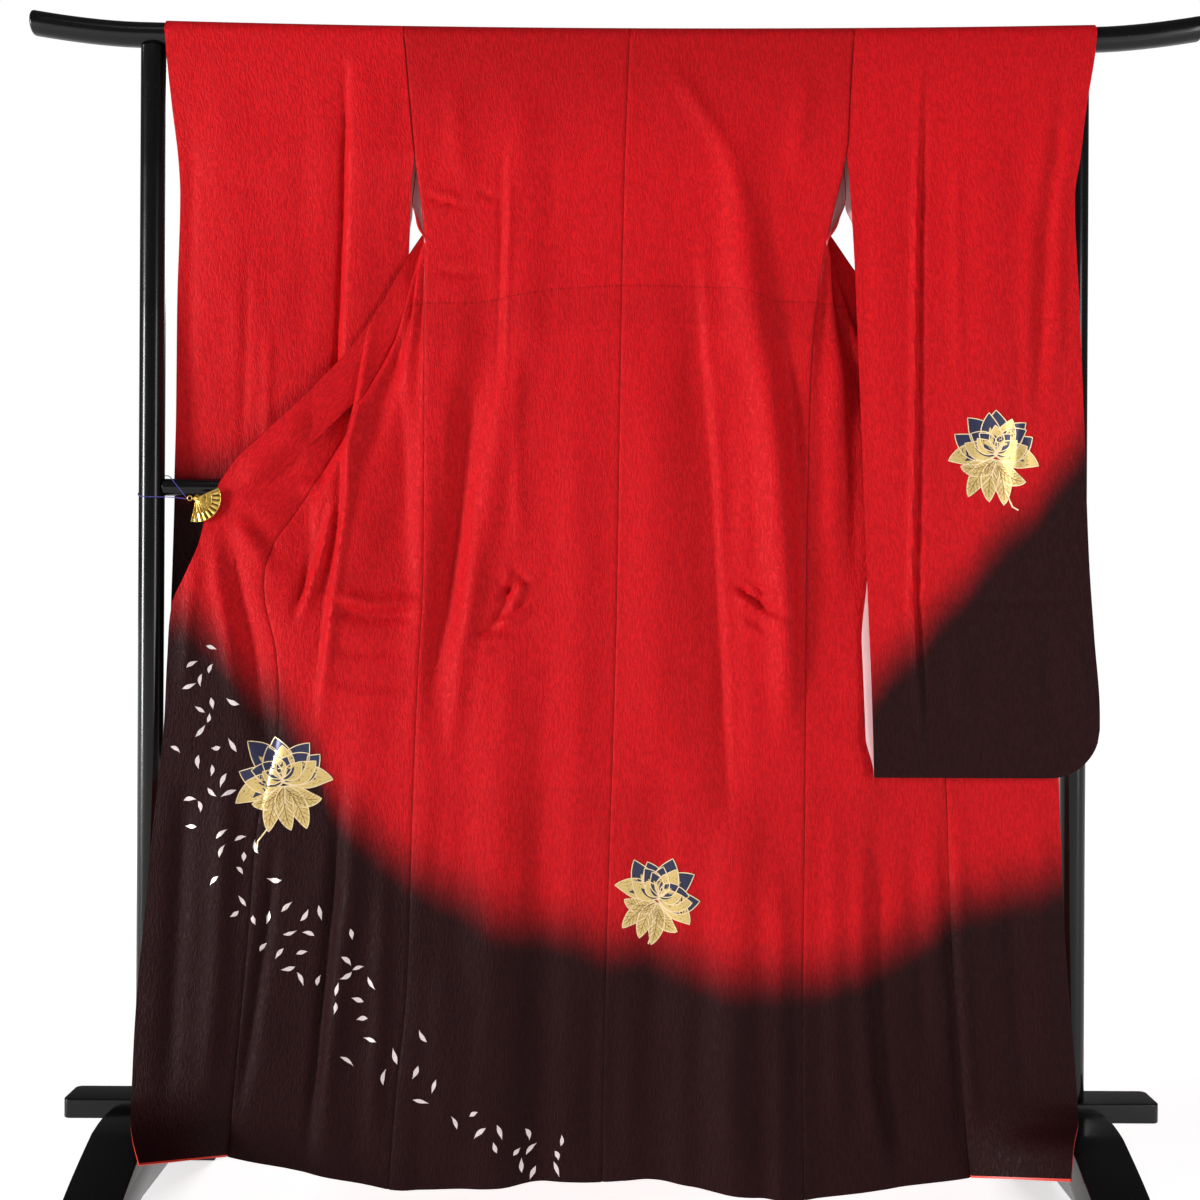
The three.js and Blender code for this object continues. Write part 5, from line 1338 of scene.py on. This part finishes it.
on_sleeve = Ground([cloth["sleeve", RIGHT]])
on_body = Ground([cloth["body", LEFT], cloth["okumi", LEFT], cloth["body", RIGHT]])
blossom("sleeve_flower", on_sleeve, (518, 1078), 1.26, -6, [(10, -28), (17, -44), (24, -56), (31, -59)], 4)
blossom("front_flower", on_body, (-452, 628), 1.32, 12, [(-12, -30), (-24, -46), (-38, -58), (-40, -64)], 5)
blossom("back_flower", on_body, (64, 470), 1.16, -24, [(4, -28), (10, -44), (11, -56)], 6)
silver_petals(on_body)

stands_for(top_bar(), "top_bar")
for side, post_x in ((LEFT, -645), (RIGHT, 641)):
    low, high = (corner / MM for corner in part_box(f"post_{side}"))
    post = rod(f"upright_{side}", (post_x, 0, low.z), (0, 0, 1), high.z - low.z, POST_RADIUS, 0.8)
    stands_for(post, f"post_{side}")
    low, high = (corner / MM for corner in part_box(f"foot_{side}"))
    foot = prism(f"arched_foot_{side}", foot_outline(), low.x, high.x, "x", 2.6, LACQUER)
    stands_for(foot, f"foot_{side}")
low, high = (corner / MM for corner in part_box("mid_rail"))
rail = rod("cross_rail", (low.x, 0, RAIL_Z), (1, 0, 0), high.x - low.x, RAIL_RADIUS, 0.6)
stands_for(rail, "mid_rail")
plank = prism("low_plank", plank_outline(), PLANK_LOW, PLANK_HIGH, "z", 2.0, LACQUER)
stands_for(plank, "plank")
for piece, node in ((fan_clip(), "clip_fan"), (clip_jaw(), "clip_jaw"), (clip_ring(), "clip_ring")):
    stands_for(piece, node)

# ------------------------------------------------------------------ floor and light
look = Shader("floor")
look.set(Base_Color=look.mix(look.noise(look.place(), scale=3.0), grey(0.84), grey(0.88)), Roughness=0.6)
away = look.node("VectorMath", {0: look.place()}, operation="LENGTH").outputs["Value"]
# Painted light: the floor glows, more further off, so that it stays white out to the paper and lights the
# cloth from below.
look.set(Emission_Color=(1, 1, 1, 1), Emission_Strength=look.ramp(away, 0.9, 4.5, 0.56, 0.96))
floor_mesh = bpy.data.meshes.new("floor")
floor_mesh.from_pydata([(-40, -40, 0), (40, -40, 0), (40, 40, 0), (-40, 40, 0)], [], [(0, 1, 2, 3)])
floor_mesh.materials.append(look.material)
floor = add_object("floor", floor_mesh)
floor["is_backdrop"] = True

# The camera sees white paper, and the room's own light is dim.
world = bpy.data.worlds.new("studio")
world.use_nodes = True
nodes, link = world.node_tree.nodes, world.node_tree.links.new
paper, room, both = nodes["Background"], nodes.new("ShaderNodeBackground"), nodes.new("ShaderNodeMixShader")
for background, strength in ((paper, 1.0), (room, 0.10)):
    background.inputs["Color"].default_value = (1, 1, 1, 1)
    background.inputs["Strength"].default_value = strength
link(nodes.new("ShaderNodeLightPath").outputs["Is Camera Ray"], both.inputs[0])
link(room.outputs[0], both.inputs[1])
link(paper.outputs[0], both.inputs[2])
link(both.outputs[0], nodes["World Output"].inputs[0])
bpy.context.scene.world = world


def soft_light(name, place, aim, size, power):
    data = bpy.data.lights.new(name, "AREA")
    data.shape, data.size, data.size_y, data.energy = "RECTANGLE", size[0], size[1], power
    made = add_object(name, data)
    made.location = place
    made.rotation_euler = (Vector(aim) - Vector(place)).to_track_quat("-Z", "Y").to_euler()


soft_light("key", (-8.2, -3.9, 1.3), (0, 0, 0.9), (1.6, 3.2), 985)
soft_light("fill", (2.7, -2.7, 1.2), (0.5, 0, 1.05), (0.8, 1.8), 43)
soft_light("top", (-0.6, -1.9, 3.4), (0, 0, 0.6), (1.6, 0.8), 7)
soft_light("rear", (0.6, 3.6, 2.8), (0, 0, 1.0), (2.4, 1.6), 80)
bpy.context.scene.view_settings.view_transform = "Standard"
bpy.context.scene.view_settings.look = "None"

low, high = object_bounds()
